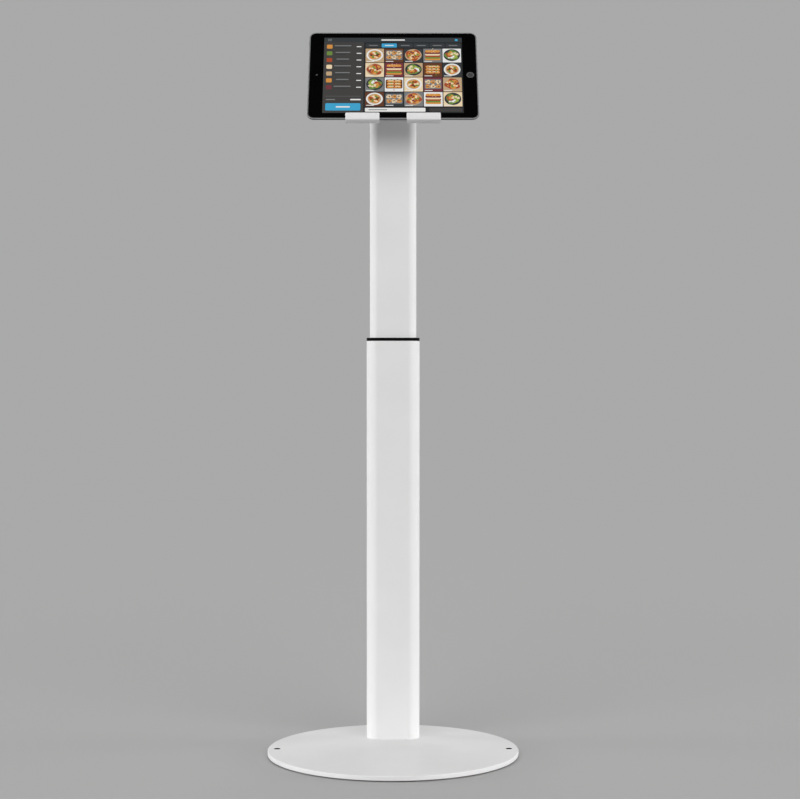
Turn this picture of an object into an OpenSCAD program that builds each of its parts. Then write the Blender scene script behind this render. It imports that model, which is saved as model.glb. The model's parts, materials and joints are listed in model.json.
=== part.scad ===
// Adjustable floor stand for a tablet. A round steel plate on rubber feet carries a flat-oval
// column of two telescoping tubes. A collar guides the upper tube, and a knob behind the column
// clamps it at any height. On top, a friction hinge tilts a sheet steel cradle, and the tablet
// stands in the cradle's two hooks.
// Millimetres, +Z up. The origin is on the floor under the centre of the base plate, and the
// front of the stand faces -Y.

/* [Base] */
// Diameter of the round base plate
base_d = 350; // [320:5:420]
// Thickness of the base plate
base_t = 6.4; // [5.5:0.1:10]
// Rounding of the base plate's rim
base_rim_r = 1.2; // [0.6:0.1:2]
// Distance from the plate's centre back to the column's axis
column_back = 82; // [60:1:95]
// Distance from the plate's rim to the centre of each floor hole
floor_hole_edge = 13; // [10:0.5:18]
// Diameter of the floor holes
floor_hole_d = 8.6; // [6:0.1:10]
// Number of rubber feet
foot_count = 6; // [4:1:8]
// Diameter of a rubber foot
foot_d = 24; // [16:1:30]
// Height of a rubber foot
foot_h = 1.5; // [1:0.1:3]
// Distance from the plate's rim to the centre of each foot
foot_edge = 30; // [22:1:36]

/* [Column tubes] */
// Width of the outer tube
outer_w = 76; // [72:1:90]
// Depth of the outer tube, front to back
outer_depth = 38; // [36:1:48]
// Corner radius of the outer tube
outer_r = 17; // [14:0.5:17.5]
// Wall of the outer tube
outer_wall = 2; // [1.5:0.1:2.5]
// Length of the outer tube
outer_len = 571; // [500:1:650]
// Wall of the inner tube
inner_wall = 2; // [1.5:0.1:2.5]
// Length of the inner tube
inner_len = 556; // [520:1:640]
// Length of the inner tube that stands above the collar
mast_show = 312.5; // [200:0.5:360]

/* [Collar and glide] */
// Height of the collar's flange above the outer tube
collar_flange_h = 4.5; // [3:0.1:8]
// Length of the collar's skirt inside the outer tube
collar_skirt = 60; // [50:1:70]
// Wall of the collar's skirt
collar_wall = 2.35; // [2:0.05:3]
// Height of the glide's shoulder under the inner tube
glide_h = 25; // [15:1:35]
// Length of the glide inside the inner tube
glide_insert = 40; // [25:1:50]
// Diameter of the pins through the glide
glide_pin_d = 5; // [3:0.5:6]

/* [Foot block] */
// Height of the block that closes the foot of the outer tube
foot_block_h = 16; // [12:1:24]
// Thread diameter of the screws that hold the column
column_screw_d = 6; // [5:0.5:8]
// Length of the screws that hold the column
column_screw_len = 18; // [14:1:20]
// Distance from the block's end to the centre of a column screw
column_screw_inset_x = 12; // [11:0.5:16]
// Distance from the block's front or back to the centre of a column screw
column_screw_inset_y = 9; // [8.5:0.5:11]

/* [Height lock] */
// Distance from the top of the outer tube down to the lock's axis
lock_drop = 27; // [20:1:32]
// Outer diameter of the threaded boss
boss_d = 24; // [20:1:28]
// Length of the threaded boss
boss_len = 12; // [10:0.5:16]
// Diameter of the threaded stud
stud_d = 8; // [6:0.5:10]
// Diameter of the stud's reduced tip
stud_tip_d = 5; // [3:0.5:5.5]
// Length of the stud's reduced tip
stud_tip_len = 3; // [2:0.5:4]
// Diameter of the clamping pad
pad_d = 14; // [11:0.5:16]
// Depth of the pocket for the pad in the boss
pad_pocket = 6; // [4:0.5:7]
// Way that the pad moves back when the knob is opened
lock_travel = 1.25; // [1:0.25:2.5]
// Diameter over the lobes of the knob
knob_d = 40; // [32:1:50]
// Number of lobes on the knob
knob_lobes = 7; // [5:1:9]
// Diameter of one lobe
knob_lobe_d = 11; // [8:0.5:13]
// Thickness of the lobed grip
knob_grip_h = 15; // [10:1:20]
// Rise of the domed end of the grip
knob_dome_h = 3; // [1:0.5:5]
// Diameter of the knob's hub
knob_hub_d = 20; // [16:1:24]
// Length of the knob's hub
knob_hub_h = 7; // [4:1:10]
// Length of the stud held in the knob
stud_in_knob = 16; // [10:1:18]
// Gap between the clamped knob and the boss
knob_gap = 2; // [1:0.5:4]

/* [Tilt hinge] */
// Lean of the tablet from upright, backwards, in degrees
tilt = 36; // [0:1:80]
// Thickness of the yoke's cap on the inner tube
yoke_cap_h = 5; // [3:0.5:8]
// Length of the yoke's plug inside the inner tube
yoke_insert = 45; // [30:1:60]
// Height of the hinge axis above the yoke's cap
pivot_rise = 25; // [20:0.5:35]
// Thickness of one ear of the yoke
ear_t = 6; // [4:0.5:8]
// Radius of the ears and of the lug round the hinge axis
ear_r = 12; // [10:0.5:13]
// Diameter of the hinge bolt
bolt_d = 8; // [6:0.5:10]
// Diameter of the hinge bolt's head
bolt_head_d = 13; // [12:0.5:16]
// Height of the hinge bolt's head
bolt_head_h = 5; // [4:0.5:8]
// Width across the corners of the lock nut
nut_d = 15; // [13:0.5:18]
// Height of the lock nut
nut_h = 8; // [6:0.5:10]
// Diameter of a disc spring
disc_spring_d = 16; // [14:0.5:20]
// Thickness of one disc spring
disc_spring_t = 1.2; // [0.8:0.1:2]
// Number of disc springs
disc_spring_count = 3; // [1:1:4]
// Width of the lug between the ears
lug_w = 24; // [18:1:30]
// Height of the lug's arm
lug_arm_h = 18; // [12:1:20]
// Thickness of one friction washer
friction_washer_t = 1; // [0.6:0.1:2]
// Diameter of a friction washer
friction_washer_d = 22; // [18:0.5:24]
// Thread diameter of the screws that hold the yoke
yoke_screw_d = 5; // [4:0.5:6]
// Length of the screws that hold the yoke
yoke_screw_len = 14; // [10:1:18]
// Distance from the edge of the column's flat face to the yoke's screws and the glide's pins
fixing_inset = 6; // [5:0.5:10]
// Length of the hinge bolt's free end
bolt_free_end = 2; // [1:0.5:4]

/* [Cradle] */
// Distance from the hinge axis to the tablet's back
standoff = 42.4; // [38:0.2:55]
// Distance from the hinge axis down to the tablet's lower edge
seat_drop = 84.7; // [80:0.1:95]
// Thickness of the cradle's sheet steel
sheet_t = 1.5; // [1.2:0.1:2]
// Inner radius of the bends
bend_r = 1; // [0.8:0.1:1.4]
// Width of the cradle
cradle_w = 132.4; // [120:0.2:150]
// Height of the cradle above the tablet's lower edge
cradle_h = 125; // [118:1:140]
// Corner radius at the top of the cradle
cradle_r = 8; // [2:0.5:12]
// Width of one hook
hook_w = 47.3; // [35:0.1:55]
// Height of the hook's lip above the tablet's lower edge
lip_h = 9.9; // [6:0.1:12]
// Corner radius of the lip
lip_r = 1.6; // [0.5:0.1:3]
// Height of the notch between the hooks above the tablet's lower edge
notch_h = 3; // [1:0.5:5]
// Thickness of the rubber liner in the hooks
liner_t = 0.8; // [0.5:0.1:1.5]
// Distance from the hook's end to its liner
liner_inset = 1; // [0.5:0.5:3]
// Space for the grip pads between cradle and tablet
grip_t = 0.5; // [0.4:0.1:1.5]
// Width of one grip pad
grip_w = 26; // [15:1:30]
// Height of one grip pad
grip_h = 84; // [60:1:90]
// Corner radius of a grip pad
grip_r = 3; // [1:0.5:5]
// Distance from the cradle's side to the grip pad
grip_edge = 6; // [4:0.5:10]
// Side of the square flange on the lug
flange_w = 60; // [52:1:64]
// Thickness of the flange on the lug
flange_t = 4; // [3:0.5:6]
// Corner radius of the flange
flange_r = 6; // [2:0.5:8]
// Thread diameter of the screws that hold the cradle
cradle_screw_d = 4; // [3:0.5:5]
// Length of the screws that hold the cradle
cradle_screw_len = 6; // [5:0.5:8]
// Distance from the flange's side to the centre of a cradle screw
cradle_screw_inset = 8; // [6:0.5:10]

/* [Tablet] */
// Width of the tablet
tablet_w = 240; // [230:1:260]
// Height of the tablet
tablet_h = 169.5; // [165:0.5:185]
// Thickness of the tablet
tablet_t = 6.1; // [6:0.1:8]
// Corner radius of the tablet
tablet_r = 10; // [8:0.5:14]
// Width of the metal rim round the glass
rim_w = 1.8; // [1.2:0.1:2]
// Step from the glass down to the metal rim
rim_step = 0.25; // [0.1:0.05:0.4]
// Thickness of the cover glass
glass_t = 0.8; // [0.6:0.1:1]
// Width of the black border at the left and right of the picture
side_bezel = 19.65; // [18.5:0.05:24]
// Width of the black border above and below the picture
top_bezel = 9.05; // [6:0.05:14]
// Border of the display panel round the picture area
panel_border = 2; // [1:0.5:2.5]
// Thickness of the display panel
panel_t = 2; // [1.5:0.1:2]
// Thickness of the shell's back
shell_floor = 1; // [0.8:0.1:1]
// Thickness of the shell's side walls
shell_wall = 3; // [2.6:0.1:3.5]
// Height of the upright band round the shell's edge
shell_band = 2.6; // [2.4:0.1:2.8]
// Width of the shell's rounded back edge
shell_round = 4.5; // [3:0.1:6]
// Thickness of the shell's flat skins at the back edge
shell_skin = 0.2; // [0.1:0.05:0.4]
// Diameter of the home button
home_d = 11; // [9:0.5:11.5]
// Thickness of the home button
home_t = 1.2; // [1:0.1:1.5]
// Distance from the tablet's side to the centre of the home button
home_edge = 10.9; // [9:0.1:12]
// Diameter of the front camera's window
front_camera_d = 2.8; // [2:0.1:4]
// Distance from the tablet's side to the front camera
front_camera_edge = 12.2; // [9:0.1:14]
// Diameter of the rear camera's window
rear_camera_d = 7; // [5:0.5:9]
// Distance from the tablet's edges to the rear camera
rear_camera_edge = 13; // [11:0.5:20]
// Width of the side buttons, across the tablet's edge
side_button_h = 1.5; // [1.2:0.1:1.6]
// Distance that the side buttons stand proud
side_button_proud = 0.4; // [0.3:0.1:0.8]
// Thickness of the flange that keeps a side button in
side_flange_t = 0.8; // [0.5:0.1:1.2]
// Width of that flange's edge beyond the button
side_flange_edge = 0.15; // [0.12:0.01:0.2]
// Distance from the glass face to the middle of the side buttons
side_button_depth = 1.9; // [1.8:0.1:2]
// Length of a volume button
volume_len = 12; // [8:0.5:16]
// Distance from the tablet's side to the first volume button
volume_edge = 40; // [30:1:60]
// Distance between the two volume buttons
volume_pitch = 18; // [17:0.5:24]
// Length of the power button
power_len = 11; // [8:0.5:16]
// Distance from the tablet's upper edge to the power button
power_edge = 22; // [18:1:40]
// Width of the battery
battery_w = 120; // [100:1:130]
// Height of the battery
battery_h = 112; // [100:1:120]
// Gap between the battery and the display panel
battery_gap = 0.2; // [0.1:0.05:0.4]
// Width of the circuit board
board_w = 26; // [20:1:30]
// Height of the circuit board
board_h = 132; // [110:1:140]
// Thickness of the circuit board
board_t = 1; // [0.8:0.1:1.6]
// Distance from the shell's inner wall, and from the battery, to the circuit board
board_edge = 10; // [6:0.5:12]
// Distance from the rear camera down to the circuit board
board_drop = 2; // [1:0.5:5]

/* [Clearances] */
// Gap between sliding faces
slide_gap = 0.25; // [0.2:0.01:0.4]
// Gap between fixed pieces
fixed_gap = 0.1; // [0.05:0.01:0.15]
// Gap round hinge bolt and threads
pin_gap = 0.05; // [0.03:0.01:0.08]
// Gap between the tablet and its hooks
seat_gap = 0.1; // [0.05:0.05:0.3]
// Gap between the tablet's glass and the hooks' lips
lip_gap = 0.4; // [0.3:0.1:0.8]
// Gap between the clamping pad and the inner tube
clamp_gap = 0.15; // [0.1:0.05:0.3]
// Gap behind the opened clamping pad
pad_end_gap = 0.4; // [0.2:0.1:0.8]

/* [Hidden] */
$fn = 64;
hull_fn = 32;
hex_fn = 6;
// Distance that a cutting shape runs past the face it cuts
cut = 1;

// Heights along the column
plate_top = foot_h + base_t;
outer_top = plate_top + outer_len;
collar_top = outer_top + collar_flange_h;
inner_top = collar_top + mast_show;
inner_bottom = inner_top - inner_len;
cap_top = inner_top + yoke_cap_h;
pivot_z = cap_top + pivot_rise;
lock_z = outer_top - lock_drop;

// How far each layer of the column lies inside the outer tube's face
bore_in = outer_wall;
skirt_in = bore_in + fixed_gap;
guide_in = skirt_in + collar_wall;
mast_in = guide_in + slide_gap;
mast_bore_in = mast_in + inner_wall;
plug_in = mast_bore_in + fixed_gap;
glide_in = bore_in + slide_gap;

// Faces at the back of the column
rear_face = column_back + outer_depth / 2;
mast_rear = rear_face - mast_in;
mast_front = column_back - outer_depth / 2 + mast_in;
// Pins and screws go through the flat part of the inner tube
flat_half = outer_w / 2 - outer_r;
fixing_x = flat_half - fixing_inset;

// Height lock, measured along its axis behind the column
pad_front = mast_rear + clamp_gap;
pad_back = rear_face + pad_pocket - lock_travel - pad_end_gap;
knob_front = rear_face + boss_len + knob_gap;

// Countersunk heads: width and depth for a thread diameter
function head_d(d) = 2 * d;
function head_h(d) = d / 2;
// Hexagon socket for a thread diameter, across its corners
function socket_d(d) = 0.75 * d;

// Hinge, measured across the stand
washer_play = pin_gap;
ear_in = lug_w / 2 + friction_washer_t + 2 * washer_play;
ear_out = ear_in + ear_t;
springs_end = ear_out + disc_spring_count * (disc_spring_t + washer_play) + washer_play;
bolt_end = springs_end + nut_h + bolt_free_end;

// Cradle, measured forward from the hinge axis
plate_front = standoff - grip_t;
plate_back = plate_front - sheet_t;
flange_back = plate_back - flange_t;
lip_back = standoff + tablet_t + lip_gap;
lip_front = lip_back + sheet_t;
// and upward from the hinge axis
shelf_top = -seat_drop - seat_gap - liner_t;
shelf_bottom = shelf_top - sheet_t;
lip_top = lip_h - seat_drop;
cradle_top = cradle_h - seat_drop;
hook_x = (cradle_w - hook_w) / 2;
screw_reach = flange_w / 2 - cradle_screw_inset;

// Tablet, measured in its own frame: X to the right, Y up the screen, Z from the back to the glass
glass_w = tablet_w - 2 * rim_w;
glass_h = tablet_h - 2 * rim_w;
glass_r = tablet_r - rim_w;
screen_w = glass_w - 2 * side_bezel;
screen_h = glass_h - 2 * top_bezel;
glass_back = tablet_t - glass_t;
panel_back = glass_back - panel_t - pin_gap;
pocket_w = tablet_w - 2 * shell_wall;
pocket_h = tablet_h - 2 * shell_wall;
pocket_r = tablet_r - shell_wall;
home_x = tablet_w / 2 - home_edge;
front_camera_x = front_camera_edge - tablet_w / 2;
rear_camera_x = rear_camera_edge - tablet_w / 2;
rear_camera_y = tablet_h / 2 - rear_camera_edge;
side_button_z = tablet_t - side_button_depth;
volume_x = volume_edge - tablet_w / 2;
power_y = tablet_h / 2 - power_edge;
board_x = board_edge + board_w / 2 - pocket_w / 2;
board_y = rear_camera_y - rear_camera_d / 2 - board_drop - board_h / 2;
battery_t = panel_back - battery_gap - shell_floor - pin_gap;
battery_x = board_x + board_w / 2 + board_edge + battery_w / 2;

// Flat shapes

// A rectangle with round corners, centred
module rounded_rect(w, h, r) {
    square([w - 2 * r, h], center = true);
    square([w, h - 2 * r], center = true);
    for (sx = [-1, 1], sy = [-1, 1])
        translate([sx * (w / 2 - r), sy * (h / 2 - r)])
            circle(r);
}

// The column's flat-oval outline, drawn in from the outer tube's face
module oval(inset) {
    rounded_rect(outer_w - 2 * inset, outer_depth - 2 * inset, outer_r - inset);
}

// A slot with round ends
module pill(length, height) {
    square([length - height, height], center = true);
    for (sx = [-1, 1])
        translate([sx * (length - height) / 2, 0])
            circle(d = height);
}

// Places and directions

module at_column(z) {
    translate([0, column_back, z])
        children();
}

// Turns +Z to point back along +Y, at a point on the lock's axis
module along_lock(y) {
    translate([0, y, lock_z])
        rotate([-90, 0, 0])
            children();
}

// The hinge axis, before the head leans
module at_pivot() {
    translate([0, column_back, pivot_z])
        children();
}

// The head's frame: origin on the hinge axis, front towards -Y, leaning back with the tablet
module in_head() {
    at_pivot()
        rotate([-tilt, 0, 0])
            children();
}

// The tablet's frame
module in_tablet() {
    in_head()
        translate([0, -standoff, tablet_h / 2 - seat_drop])
            rotate([90, 0, 0])
                children();
}

// A shape along +Z, turned to run across the stand along +X
module across(x) {
    translate([x, 0, 0])
        rotate([0, 90, 0])
            children();
}

// Fasteners

// A countersunk screw along +Z, with the flat of its head at zero
module countersunk_screw(d, length) {
    difference() {
        union() {
            cylinder(d1 = head_d(d), d2 = d, h = head_h(d));
            cylinder(d = d, h = length);
        }
        translate([0, 0, -cut])
            cylinder(d = socket_d(d), h = cut + 0.8 * head_h(d), $fn = hex_fn);
    }
}

// The hole that such a screw needs
module countersunk_hole(d, depth) {
    cylinder(d1 = head_d(d) + 2 * fixed_gap, d2 = d + 2 * fixed_gap, h = head_h(d));
    cylinder(d = d + 2 * fixed_gap, h = depth);
    translate([0, 0, -cut])
        cylinder(d = head_d(d) + 2 * fixed_gap, h = cut);
}

module at_column_screws() {
    reach_x = outer_w / 2 - skirt_in - column_screw_inset_x;
    reach_y = outer_depth / 2 - skirt_in - column_screw_inset_y;
    for (sx = [-1, 1], sy = [-1, 1])
        translate([sx * reach_x, column_back + sy * reach_y, foot_h])
            children();
}

module at_yoke_screws() {
    for (sx = [-1, 1])
        translate([sx * fixing_x, mast_rear, inner_top - yoke_insert / 2])
            rotate([90, 0, 0])
                children();
}

module at_glide_pins() {
    for (sx = [-1, 1])
        translate([sx * fixing_x, mast_front, inner_bottom + glide_insert / 2])
            rotate([-90, 0, 0])
                children();
}

module at_cradle_screws() {
    for (sx = [-1, 1], sz = [-1, 1])
        translate([sx * screw_reach, -plate_front, sz * screw_reach])
            rotate([-90, 0, 0])
                children();
}

// Base

module base_rim() {
    base_r = base_d / 2;
    square([base_r - base_rim_r, base_t]);
    translate([0, base_rim_r])
        square([base_r, base_t - 2 * base_rim_r]);
    for (y = [base_rim_r, base_t - base_rim_r])
        translate([base_r - base_rim_r, y])
            circle(base_rim_r);
}

module base_plate() {
    color("white")
        difference() {
            translate([0, 0, foot_h])
                rotate_extrude($fn = 128)
                    base_rim();
            for (sx = [-1, 1])
                translate([sx * (base_d / 2 - floor_hole_edge), 0, foot_h - cut])
                    cylinder(d = floor_hole_d, h = base_t + 2 * cut);
            at_column_screws()
                countersunk_hole(column_screw_d, base_t + cut);
        }
}

module base_feet() {
    color("dimgray")
        for (i = [0 : foot_count - 1])
            rotate([0, 0, 90 + i * 360 / foot_count])
                translate([base_d / 2 - foot_edge, 0, 0])
                    cylinder(d = foot_d, h = foot_h);
}

module foot_block() {
    color("silver")
        difference() {
            at_column(plate_top)
                linear_extrude(foot_block_h)
                    oval(skirt_in);
            at_column_screws()
                cylinder(d = column_screw_d + 2 * fixed_gap, h = base_t + foot_block_h + cut);
        }
}

module column_screws() {
    color("gainsboro")
        at_column_screws()
            countersunk_screw(column_screw_d, column_screw_len);
}

// Column

module outer_tube() {
    color("white")
        difference() {
            at_column(plate_top)
                linear_extrude(outer_len)
                    difference() {
                        oval(0);
                        oval(bore_in);
                    }
            along_lock(rear_face - outer_wall - cut)
                cylinder(d = pad_d + 2 * slide_gap, h = outer_wall + 2 * cut);
        }
}

module collar() {
    color("black")
        difference() {
            union() {
                at_column(outer_top)
                    linear_extrude(collar_flange_h)
                        oval(0);
                at_column(outer_top - collar_skirt)
                    linear_extrude(collar_skirt)
                        oval(skirt_in);
            }
            at_column(outer_top - collar_skirt - cut)
                linear_extrude(collar_skirt + collar_flange_h + 2 * cut)
                    oval(guide_in);
            along_lock(mast_rear)
                cylinder(d = pad_d + 2 * slide_gap, h = mast_in);
        }
}

module inner_tube() {
    color("white")
        difference() {
            at_column(inner_bottom)
                linear_extrude(inner_len)
                    difference() {
                        oval(mast_in);
                        oval(mast_bore_in);
                    }
            at_glide_pins()
                translate([0, 0, -cut])
                    cylinder(d = glide_pin_d + 2 * fixed_gap, h = outer_depth);
            at_yoke_screws()
                countersunk_hole(yoke_screw_d, yoke_screw_len + cut);
        }
}

module glide_block() {
    color("dimgray")
        difference() {
            union() {
                at_column(inner_bottom - glide_h)
                    linear_extrude(glide_h)
                        oval(glide_in);
                at_column(inner_bottom)
                    linear_extrude(glide_insert)
                        oval(plug_in);
            }
            at_glide_pins()
                cylinder(d = glide_pin_d + 2 * fixed_gap, h = outer_depth);
        }
}

module glide_pins() {
    color("silver")
        at_glide_pins()
            translate([0, 0, slide_gap])
                cylinder(d = glide_pin_d, h = mast_rear - mast_front - 2 * slide_gap);
}

// Height lock

module lock_boss() {
    color("white")
        difference() {
            along_lock(rear_face)
                cylinder(d = boss_d, h = boss_len);
            along_lock(rear_face - cut)
                cylinder(d = pad_d + 2 * slide_gap, h = cut + pad_pocket);
            along_lock(rear_face)
                cylinder(d = stud_d + 2 * pin_gap, h = boss_len + cut);
        }
}

module lock_pad() {
    color("goldenrod")
        difference() {
            along_lock(pad_front)
                cylinder(d = pad_d, h = pad_back - pad_front);
            along_lock(pad_back - stud_tip_len - fixed_gap)
                cylinder(d = stud_tip_d + 2 * pin_gap, h = stud_tip_len + fixed_gap + cut);
        }
}

module lock_stud() {
    color("silver") {
        along_lock(pad_back - stud_tip_len)
            cylinder(d = stud_tip_d, h = stud_tip_len + cut);
        along_lock(pad_back + pin_gap)
            cylinder(d = stud_d, h = knob_front + stud_in_knob - pad_back - pin_gap);
    }
}

module knob_outline() {
    circle(d = knob_d - knob_lobe_d);
    for (i = [0 : knob_lobes - 1])
        rotate(i * 360 / knob_lobes)
            translate([(knob_d - knob_lobe_d) / 2, 0])
                circle(d = knob_lobe_d);
}

// The lobed grip, with a gently domed end
module knob_grip() {
    knob_r = knob_d / 2;
    dome_r = (knob_r * knob_r + knob_dome_h * knob_dome_h) / (2 * knob_dome_h);
    intersection() {
        linear_extrude(knob_grip_h)
            knob_outline();
        translate([0, 0, knob_grip_h - dome_r])
            sphere(dome_r, $fn = 128);
    }
}

module lock_knob() {
    color("black")
        difference() {
            union() {
                along_lock(knob_front)
                    cylinder(d = knob_hub_d, h = knob_hub_h);
                along_lock(knob_front + knob_hub_h)
                    knob_grip();
            }
            along_lock(knob_front - cut)
                cylinder(d = stud_d + 2 * fixed_gap, h = cut + stud_in_knob + fixed_gap);
        }
}

// Tilt hinge

// Outline of one ear, with the hinge axis at zero
module ear_outline() {
    circle(ear_r);
    translate([0, -pivot_rise / 2])
        square([2 * ear_r, pivot_rise], center = true);
}

module head_yoke() {
    color("white")
        difference() {
            union() {
                at_column(inner_top - yoke_insert)
                    linear_extrude(yoke_insert)
                        oval(plug_in);
                at_column(inner_top)
                    linear_extrude(yoke_cap_h)
                        oval(mast_in);
                for (x = [-ear_out, ear_in])
                    at_pivot()
                        translate([x, 0, 0])
                            rotate([90, 0, 90])
                                linear_extrude(ear_t)
                                    ear_outline();
            }
            at_pivot()
                across(-ear_out - cut)
                    cylinder(d = bolt_d + 2 * pin_gap, h = 2 * (ear_out + cut));
            at_yoke_screws()
                countersunk_hole(yoke_screw_d, yoke_screw_len + cut);
        }
}

module yoke_screws() {
    color("gainsboro")
        at_yoke_screws()
            translate([0, 0, fixed_gap])
                countersunk_screw(yoke_screw_d, yoke_screw_len);
}

module hinge_bolt() {
    color("silver")
        difference() {
            at_pivot() {
                across(-ear_out - bolt_head_h)
                    cylinder(d = bolt_head_d, h = bolt_head_h - washer_play);
                across(-ear_out - bolt_head_h / 2)
                    cylinder(d = bolt_d, h = bolt_end + ear_out + bolt_head_h / 2);
            }
            at_pivot()
                across(-ear_out - bolt_head_h - cut)
                    cylinder(d = socket_d(bolt_d), h = cut + bolt_head_h / 2, $fn = hex_fn);
        }
}

// A washer along +Z
module washer(d, hole, t) {
    difference() {
        cylinder(d = d, h = t);
        translate([0, 0, -cut])
            cylinder(d = hole, h = t + 2 * cut);
    }
}

module disc_springs() {
    color("dimgray")
        for (i = [0 : disc_spring_count - 1])
            at_pivot()
                across(ear_out + washer_play + i * (disc_spring_t + washer_play))
                    washer(disc_spring_d, bolt_d + 2 * pin_gap, disc_spring_t);
}

module hinge_nut() {
    color("silver")
        at_pivot()
            across(springs_end)
                difference() {
                    cylinder(d = nut_d, h = nut_h, $fn = hex_fn);
                    translate([0, 0, -cut])
                        cylinder(d = bolt_d + 2 * pin_gap, h = nut_h + 2 * cut);
                }
}

module tilt_lug() {
    color("white")
        in_head()
            difference() {
                union() {
                    across(-lug_w / 2)
                        cylinder(r = ear_r, h = lug_w);
                    translate([-lug_w / 2, -flange_back, -lug_arm_h / 2])
                        cube([lug_w, flange_back, lug_arm_h]);
                    translate([0, -flange_back, 0])
                        rotate([90, 0, 0])
                            linear_extrude(flange_t)
                                rounded_rect(flange_w, flange_w, flange_r);
                }
                across(-lug_w / 2 - cut)
                    cylinder(d = bolt_d + 2 * pin_gap, h = lug_w + 2 * cut);
                at_cradle_screws()
                    countersunk_hole(cradle_screw_d, cradle_screw_len + cut);
            }
}

module friction_washers() {
    color("dimgray")
        in_head()
            for (x = [-lug_w / 2 - washer_play - friction_washer_t, lug_w / 2 + washer_play])
                across(x)
                    washer(friction_washer_d, bolt_d + 2 * pin_gap, friction_washer_t);
}

// Cradle

// The hook's section: a channel of bent sheet, open at the top, in the head's Y and Z
module hook_section() {
    outer_bend = bend_r + sheet_t;
    difference() {
        translate([-(lip_front + plate_back) / 2, (shelf_bottom + lip_top + outer_bend) / 2])
            rounded_rect(lip_front - plate_back, lip_top + outer_bend - shelf_bottom, outer_bend);
        translate([-(lip_back + plate_front) / 2, (shelf_top + lip_top + cradle_h) / 2])
            rounded_rect(lip_back - plate_front, lip_top + cradle_h - shelf_top, bend_r);
        translate([-lip_front - cut, lip_top])
            square([lip_front - plate_back + 2 * cut, outer_bend + cut]);
    }
}

// A square corner with its rounded part taken away, through the lip
module lip_corner(side) {
    translate([side * (hook_w / 2 - lip_r), 0, lip_top - lip_r])
        rotate([90, 0, 0])
            translate([0, 0, lip_back - cut])
                linear_extrude(sheet_t + 2 * cut)
                    difference() {
                        translate([side > 0 ? 0 : -2 * lip_r, 0])
                            square(2 * lip_r);
                        circle(lip_r);
                    }
}

module hook() {
    difference() {
        translate([-hook_w / 2, 0, 0])
            rotate([90, 0, 90])
                linear_extrude(hook_w)
                    hook_section();
        for (side = [-1, 1])
            lip_corner(side);
    }
}

// The back panel, from the notch between the hooks up to its round top corners
module back_panel() {
    panel_bottom = notch_h - seat_drop;
    panel_height = cradle_top - panel_bottom;
    translate([0, -plate_back, 0])
        rotate([90, 0, 0])
            linear_extrude(sheet_t) {
                translate([0, panel_bottom + panel_height / 2])
                    rounded_rect(cradle_w, panel_height, cradle_r);
                translate([-cradle_w / 2, panel_bottom])
                    square([cradle_w, panel_height / 2]);
            }
}

module cradle_plate() {
    color("white")
        in_head()
            difference() {
                union() {
                    back_panel();
                    for (side = [-1, 1])
                        translate([side * hook_x, 0, 0])
                            hook();
                }
                at_cradle_screws()
                    countersunk_hole(cradle_screw_d, cradle_screw_len + cut);
            }
}

module cradle_screws() {
    color("gainsboro")
        in_head()
            at_cradle_screws()
                countersunk_screw(cradle_screw_d, cradle_screw_len);
}

module hook_liners() {
    liner_w = lip_back - plate_front - 2 * bend_r;
    color("black")
        in_head()
            for (side = [-1, 1])
                translate([side * hook_x - hook_w / 2 + liner_inset, -lip_back + bend_r, shelf_top])
                    cube([hook_w - 2 * liner_inset, liner_w, liner_t]);
}

module grip_pads() {
    grip_x = cradle_w / 2 - grip_edge - grip_w / 2;
    color("black")
        in_head()
            for (side = [-1, 1])
                translate([side * grip_x, -plate_front, cradle_top - grip_h / 2 - cradle_r])
                    rotate([90, 0, 0])
                        linear_extrude(grip_t - seat_gap)
                            rounded_rect(grip_w, grip_h, grip_r);
}

// Tablet

// One level of the shell's outside
module shell_level(inset, z, t) {
    translate([0, 0, z])
        linear_extrude(t)
            rounded_rect(tablet_w - 2 * inset, tablet_h - 2 * inset, tablet_r - inset, $fn = hull_fn);
}

module shell_outside() {
    band_back = tablet_t - shell_band;
    hull() {
        shell_level(shell_round, 0, shell_skin);
        shell_level(shell_round / 4, band_back / 2 - shell_skin, shell_skin);
        shell_level(0, band_back, shell_band - rim_step);
    }
}

// Turns +Z to point out of the tablet's upper edge, at a volume button
module at_volume(step) {
    translate([volume_x + step * volume_pitch, tablet_h / 2, side_button_z])
        rotate([-90, 0, 0])
            children();
}

// Turns +Z to point out of the tablet's left edge, at the power button
module at_power() {
    translate([-tablet_w / 2, power_y, side_button_z])
        rotate([0, -90, 0])
            rotate([0, 0, 90])
                children();
}

module side_button_slot(length) {
    translate([0, 0, -shell_wall - cut])
        linear_extrude(shell_wall + 2 * cut)
            pill(length + 2 * fixed_gap, side_button_h + 2 * fixed_gap);
}

// A side button: its stem fills the slot, and a flange inside keeps it captive
module side_button(length) {
    stem = shell_wall + fixed_gap;
    translate([0, 0, -stem])
        linear_extrude(stem + side_button_proud)
            pill(length, side_button_h);
    translate([0, 0, -stem - side_flange_t])
        linear_extrude(side_flange_t)
            pill(length + 2 * side_flange_edge, side_button_h + 2 * side_flange_edge);
}

module tablet_shell() {
    color("darkgray")
        in_tablet()
            difference() {
                shell_outside();
                translate([0, 0, shell_floor])
                    linear_extrude(tablet_t)
                        rounded_rect(pocket_w, pocket_h, pocket_r);
                translate([0, 0, glass_back - fixed_gap])
                    linear_extrude(tablet_t)
                        rounded_rect(glass_w + 2 * fixed_gap, glass_h + 2 * fixed_gap, glass_r + fixed_gap);
                translate([rear_camera_x, rear_camera_y, -cut])
                    cylinder(d = rear_camera_d + 2 * fixed_gap, h = tablet_t);
                for (step = [0, 1])
                    at_volume(step)
                        side_button_slot(volume_len);
                at_power()
                    side_button_slot(power_len);
            }
}

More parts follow.
